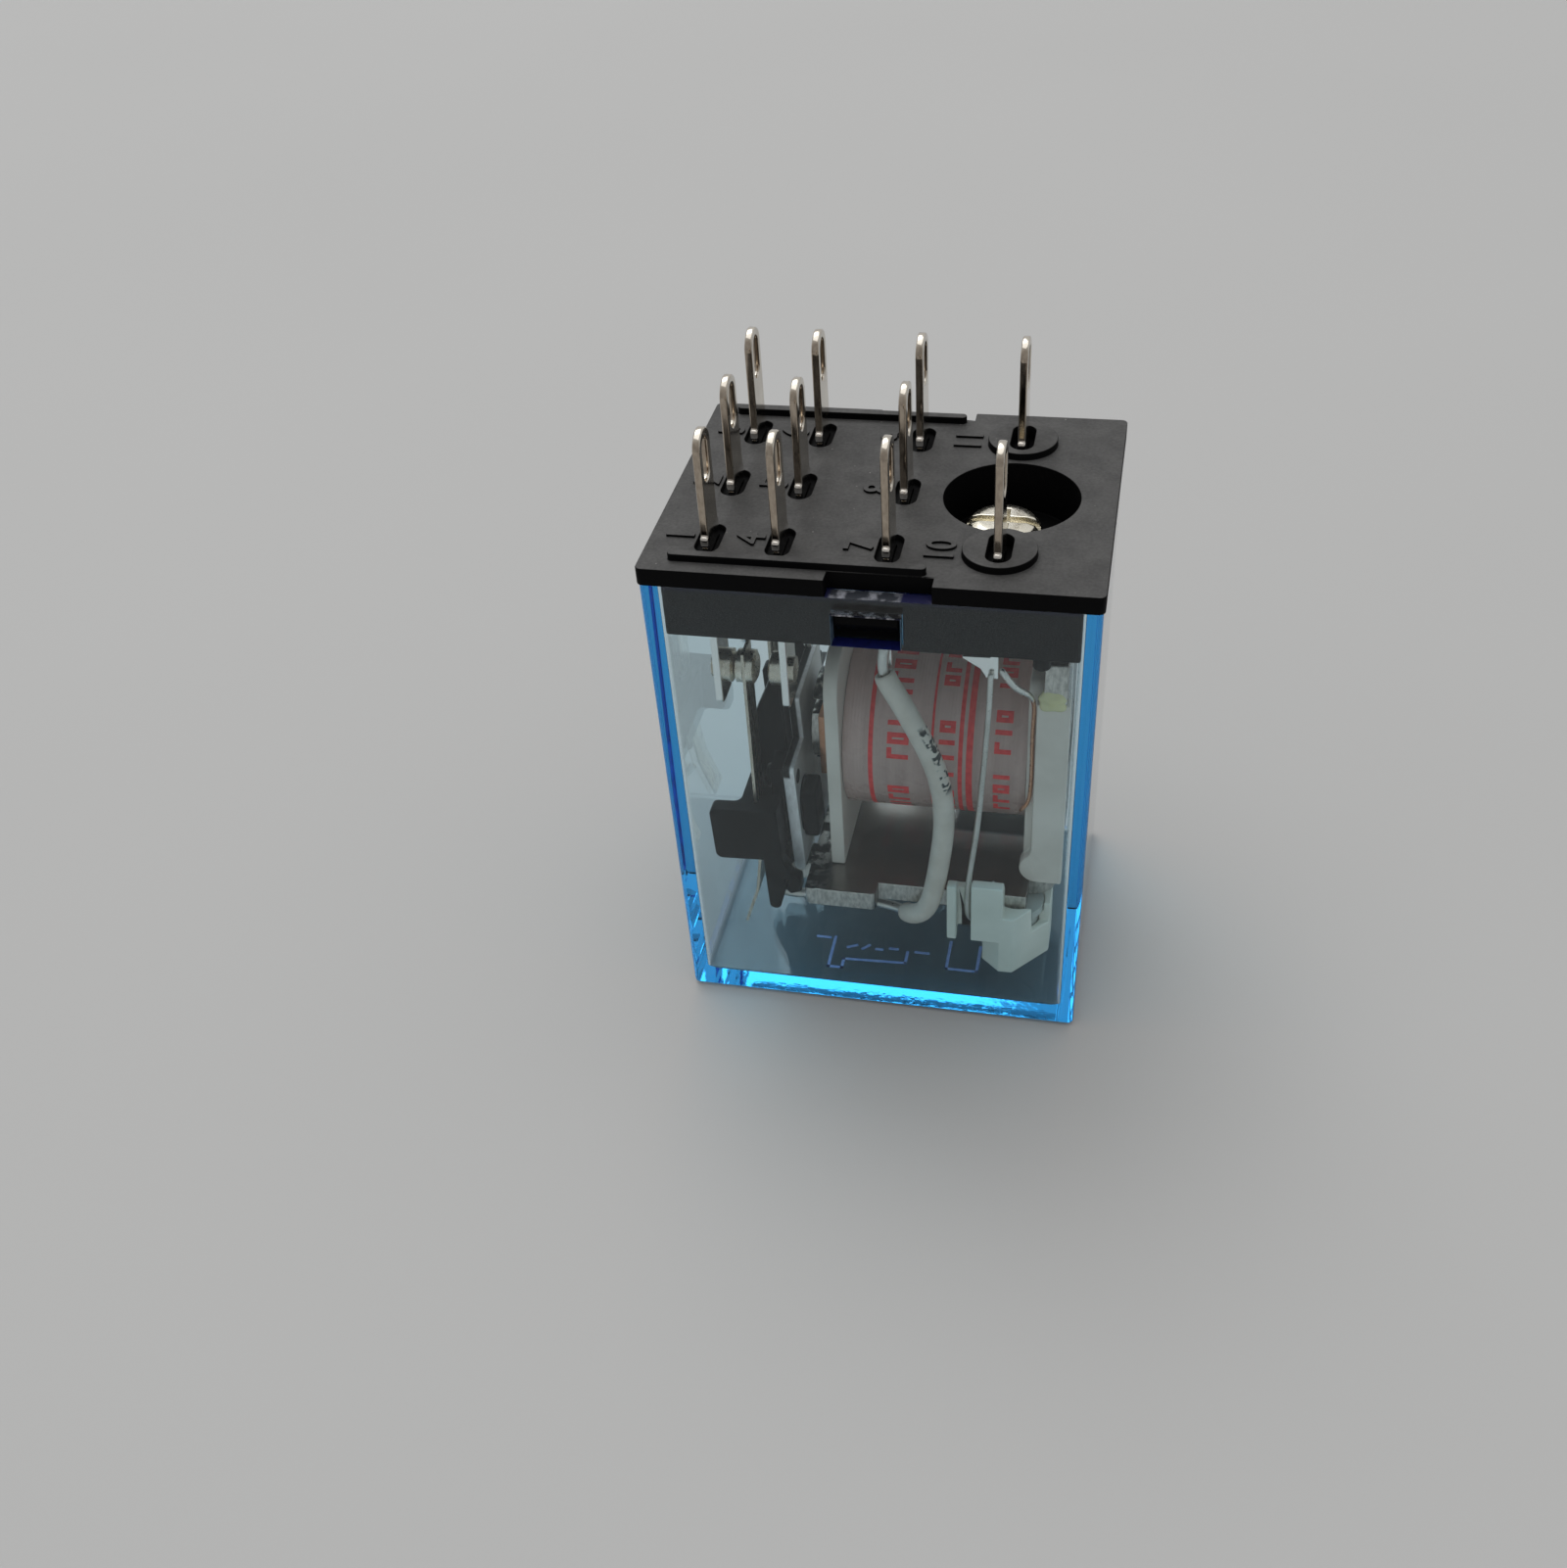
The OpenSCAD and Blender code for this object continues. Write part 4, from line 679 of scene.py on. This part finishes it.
def mark(bm, kind, x0, x1, arc):
    """Adds one simple mark of a row: a bar, a step of two bars, or a square ring. A gap adds nothing."""
    end = arc+MARK_WIDTH
    if kind == "bar":
        drum_patch(bm, x0, x1, arc+MARK_WIDTH/2-STROKE/2, arc+MARK_WIDTH/2+STROKE/2)
    elif kind == "step":
        drum_patch(bm, x0, x1, arc, arc+STROKE)
        drum_patch(bm, x0, x0+STROKE, arc+STROKE, end)
    elif kind == "ring":
        drum_patch(bm, x0, x1, arc, arc+STROKE)
        drum_patch(bm, x0, x1, end-STROKE, end)
        drum_patch(bm, x0, x0+STROKE, arc+STROKE, end-STROKE)
        drum_patch(bm, x1-STROKE, x1, arc+STROKE, end-STROKE)


def coil_print():
    """Red rules and rows of marks on the coil's wrap."""
    bm = bmesh.new()
    for x, width in RULES:
        drum_patch(bm, x-width/2, x+width/2, PRINT_START, PRINT_END)
    for x0, x1, start, row in MARK_ROWS:
        kinds = row.split()
        for k in range(int((PRINT_END-start)/MARK_PITCH)):
            mark(bm, kinds[k % len(kinds)], x0, x1, start+k*MARK_PITCH)
    bmesh.ops.recalc_face_normals(bm, faces=bm.faces)
    show("coil_print", finished(bm, "coil_print"), RED_INK, FIXED)


# Connection lines on the inside of the closed end, in millimetres
LINE_W = 0.22
LINE_H = 0.03
LINE_GAP = 0.005
LINES = [
    [(-5.4, -5.1), (-4.5, -5.1)],
    [(-4.1, -5.0), (-4.1, -8.0), (-3.1, -8.0), (-3.1, -7.1), (1.4, -6.9), (1.4, -5.8)],
    [(-3.0, -5.9), (-2.4, -5.6)],
    [(-1.9, -5.9), (-1.5, -5.5)],
    [(-0.9, -5.8), (-0.5, -5.8)],
    [(0.1, -5.6), (0.6, -5.6)],
    [(2.0, -5.7), (2.9, -5.7)],
    [(4.4, -4.3), (4.4, -7.0), (6.6, -7.0), (6.6, -4.5)],
]


def stroke(bm, start, end):
    """Adds one straight piece of a line, with square ends."""
    along = (end-start).normalized()*LINE_W/2
    across = Vector((-along.y, along.x))
    corners = [start-along-across, end+along-across, end+along+across, start-along+across]
    low, high = ([bm.verts.new(Vector((*p, END_Z+lift))*MM) for p in corners]
                 for lift in (LINE_GAP, LINE_H))
    bm.faces.new(low[::-1])
    bm.faces.new(high)
    for k in range(4):
        n = (k+1) % 4
        bm.faces.new((low[k], low[n], high[n], high[k]))


def connection_lines():
    """Pale lines in place of a printed diagram."""
    bm = bmesh.new()
    for line in LINES:
        for start, end in zip(line, line[1:]):
            stroke(bm, Vector(start), Vector(end))
    show("connection_lines", finished(bm, "connection_lines"), PALE_INK, FIXED)


# Bead of glue where the bobbin's front wing meets the yoke's arm
GLUE_AT = Vector((11.1, -7.05, 26.0))*MM
GLUE_SIZE = Vector((0.95, 0.4, 0.85))*MM


def lumpy(p):
    """How far a point of a ball of radius one is moved out, so that the bead is uneven."""
    broad = 0.12*math.sin(4.1*p.x+1.3)*math.cos(3.2*p.z)
    fine = 0.06*math.sin(7*p.z)
    return 1+broad+fine


def glue_bead():
    """Uneven bead, flattened against the wing."""
    bm = bmesh.new()
    bmesh.ops.create_icosphere(bm, subdivisions=4, radius=1)
    for v in bm.verts:
        reach = lumpy(v.co)
        v.co = GLUE_AT+Vector(v.co[i]*GLUE_SIZE[i]*reach for i in range(3))
    show("glue_bead", finished(bm, "glue_bead"), GLUE, FIXED)


# Ribs under the carrier's bar, beside the armature's ends, in millimetres
RIB_X = (-7.3, -6.35)
RIB_Y = (6.4, 7.2)
RIB_Z = (10.2, 12.2)
RIB_EDGE = 0.1

# Pegs that end the carrier's bosses, inside the armature, in millimetres as they stand when it is closed
PEG_X = (-5.52, -4.4)
PEG_Y = (4.1, 6.4)
PEG_Z = (12.1, 16.1)
PEG_EDGE = 0.3


def carrier_blocks(name, spans, edge, segments, tilt):
    """A rounded black block at each end of the carrier, which moves with it, tilted about the hinge."""
    along, across, height = spans
    bm = bmesh.new()
    for side in (-1, 1):
        box_into(bm, along, sorted(side*y for y in across), height)
    bmesh.ops.bevel(bm, geom=bm.edges[:], offset=edge*MM, segments=segments,
                    profile=ROUND_PROFILE, affect="EDGES")
    at = Matrix.Translation(HINGE["pos_m"])
    bmesh.ops.transform(bm, matrix=at @ Matrix.Rotation(-tilt, 4, "Y") @ at.inverted(), verts=bm.verts)
    show(name, finished(bm, name), LOOKS["carrier_plastic"], SWINGING)


# Latch windows: bruised upper edge, painted blue glow on the lower edge and jambs, and painted shade on
# the cover's lip in the flange's notch
def window_edges(side):
    """Thin skins on the faces of a latch window and on the lip above it."""
    depth = sorted(side*y for y in WALL_Y)
    x0, x1 = WINDOW_X
    z0, z1 = WINDOW_Z
    between = (z0+SKIN, z1-SKIN)
    faces = {
        "bruise": (SCUFF, [((x0, x1), (z1-SKIN, z1))]),
        "rim": (RIM_PAINTED_GLOW, [((x0, x1), (z0, z0+SKIN))]),
        "jambs": (JAMB_PAINTED_GLOW, [((x0, x0+SKIN), between), ((x1-SKIN, x1), between)]),
        "lip": (LIP_SHADE_AND_WEAR, [(NOTCH_X, (RIM_Z, RIM_Z+SKIN))]),
    }
    for part, (material, spans) in faces.items():
        name = f"window_{part}_{'front' if side < 0 else 'back'}"
        bm = bmesh.new()
        for xs, zs in spans:
            box_into(bm, xs, depth, zs)
        show(name, finished(bm, name), material, FIXED)


# How far the edges of CAD nodes are rounded, in millimetres
EDGES = {
    "cover": 0.04, "base": 0.07, "yoke": 0.1, "bobbin": 0.1, "indicator_bracket": 0.1, "carrier": 0.1,
    "armature": 0.06, "yoke_screw": 0.06, "shading_ring": 0.05, "core": 0.08,
}
TERMINAL_EDGE = 0.11
TERMINAL_SEGMENTS = 3

# Radius in millimetres and number of sides of the swept CAD tubes
TUBES = {
    **{f"lead_sleeve_{i}": (0.7, 8) for i in POLE_TERMINALS},
    **{f"lead_{i}": (0.35, 8) for i in POLE_TERMINALS},
    **{f"indicator_wire_{i}": (0.2, 6) for i in COIL_TERMINALS},
    "return_spring": (0.17, 6),
}
COIL_END_TUBE = (0.13, 6)


def make_part():
    """Dresses the CAD nodes and adds what is printed, worn or glued on them."""
    for node, part in frame["nodes"].items():
        part.data.materials.clear()
        part.data.materials.append(LOOKS[SLOT_OF[node]])
    frame["nodes"]["carrier_rivets"].data.materials[0] = RIVET
    for node, edge in EDGES.items():
        dressed(node, edge)
    for i in TERMINALS:
        dressed(f"terminal_{i}", TERMINAL_EDGE, TERMINAL_SEGMENTS)
        terminal_number(i)
    for node, tube in TUBES.items():
        rounded_tube(node, *tube)
    for i in COIL_TERMINALS:
        rounded_tube(f"coil_lead_{i}", *COIL_END_TUBE, COIL_END, TINNED_FROM)
    for side in (-1, 1):
        window_edges(side)
    coil_print()
    connection_lines()
    glue_bead()
    carrier_blocks("carrier_ribs", (RIB_X, RIB_Y, RIB_Z), RIB_EDGE, segments=2, tilt=0)
    carrier_blocks("carrier_pegs", (PEG_X, PEG_Y, PEG_Z), PEG_EDGE, segments=3, tilt=REST_TILT)


# Studio, in metres
FLOOR_SIZE = 6.0
FLOOR_GAP = 0.03*MM

# Lamps: name, place, size and radiance
LAMPS = [
    ("window_behind", (-0.55, 0.95, 1.6), 1.2, 1.9),
    ("ceiling", (-0.4, 0.2, 2.2), 2.0, 1.0),
]

# Brightness of the room by a direction's height and depth: from, to, and the brightness at each
ROOM = {"Z": (0, 0.8, 0.53, 0.66), "Y": (-0.8, 0.4, 0.66, 1.05)}

# Light passes many faces of clear plastic before it gets out again
CLEAR_BOUNCES = 24
GLOSSY_BOUNCES = 16


def make_floor():
    """Grey tabletop, just clear of the cover so that the two faces don't meet."""
    look = Look("floor_grey", Roughness=0.6, Specular_IOR_Level=0.2)
    look.feed("Base Color", look.blend(look.noise(0.01, 2), (0.465, 0.465, 0.46), (0.49, 0.49, 0.485)))
    bm = bmesh.new()
    bmesh.ops.create_grid(bm, x_segments=1, y_segments=1, size=FLOOR_SIZE/2)
    floor = bpy.data.objects.new("floor", finished(bm, "floor"))
    floor.data.materials.append(look.material)
    floor.location.z = -FLOOR_GAP
    bpy.context.scene.collection.objects.link(floor)


def soft_box(name, at, size, radiance):
    """Square lamp of even brightness that faces the part."""
    lamp = bpy.data.lights.new(name, "AREA")
    lamp.shape = "SQUARE"
    lamp.size = size
    lamp.energy = radiance*math.pi*size**2
    holder = bpy.data.objects.new(name, lamp)
    holder.location = at
    holder.rotation_euler = (-Vector(at)).to_track_quat("-Z", "Y").to_euler()
    bpy.context.scene.collection.objects.link(holder)


def make_world():
    """Room that is bright overhead and behind, dimmer in front."""
    world = bpy.data.worlds.new("room")
    bpy.context.scene.world = world
    world.use_nodes = True
    tree = world.node_tree
    coordinates = tree.nodes.new("ShaderNodeTexCoord")
    split = tree.nodes.new("ShaderNodeSeparateXYZ")
    both = tree.nodes.new("ShaderNodeMath")
    both.operation = "MULTIPLY"
    tree.links.new(coordinates.outputs["Generated"], split.inputs[0])
    for factor, (axis, values) in zip(both.inputs, ROOM.items()):
        span = tree.nodes.new("ShaderNodeMapRange")
        for name, value in zip(SPAN_SOCKETS, values):
            span.inputs[name].default_value = value
        tree.links.new(split.outputs[axis], span.inputs["Value"])
        tree.links.new(span.outputs["Result"], factor)
    background = tree.nodes["Background"]
    background.inputs["Color"].default_value = (1, 1, 1, 1)
    tree.links.new(both.outputs["Value"], background.inputs["Strength"])


def make_camera():
    """Camera at the photograph's view."""
    back = Vector((
        math.sin(CAMERA_AZIMUTH)*math.cos(CAMERA_ELEVATION),
        -math.cos(CAMERA_AZIMUTH)*math.cos(CAMERA_ELEVATION),
        math.sin(CAMERA_ELEVATION),
    ))
    level = Vector((math.cos(CAMERA_AZIMUTH), math.sin(CAMERA_AZIMUTH), 0))
    upright = back.cross(level)
    right = math.cos(CAMERA_ROLL)*level+math.sin(CAMERA_ROLL)*upright
    up = back.cross(right)
    lens = bpy.data.cameras.new("view")
    lens.sensor_width = SENSOR
    lens.lens = FOCAL_PX/FRAME_PX*SENSOR
    lens.clip_start = 1*MM
    camera = bpy.data.objects.new("view", lens)
    camera.matrix_world = Matrix.Translation(CAMERA_AT) @ Matrix((right, up, back)).transposed().to_4x4()
    bpy.context.scene.collection.objects.link(camera)
    bpy.context.scene.camera = camera


def make_studio():
    """Floor, room, lamps and camera."""
    make_floor()
    make_world()
    for lamp in LAMPS:
        soft_box(*lamp)
    make_camera()
    scene = bpy.context.scene
    scene.view_settings.view_transform = "Standard"
    scene.cycles.max_bounces = CLEAR_BOUNCES
    scene.cycles.glossy_bounces = GLOSSY_BOUNCES
    scene.cycles.transmission_bounces = CLEAR_BOUNCES
    scene.cycles.transparent_max_bounces = CLEAR_BOUNCES


make_part()
make_studio()
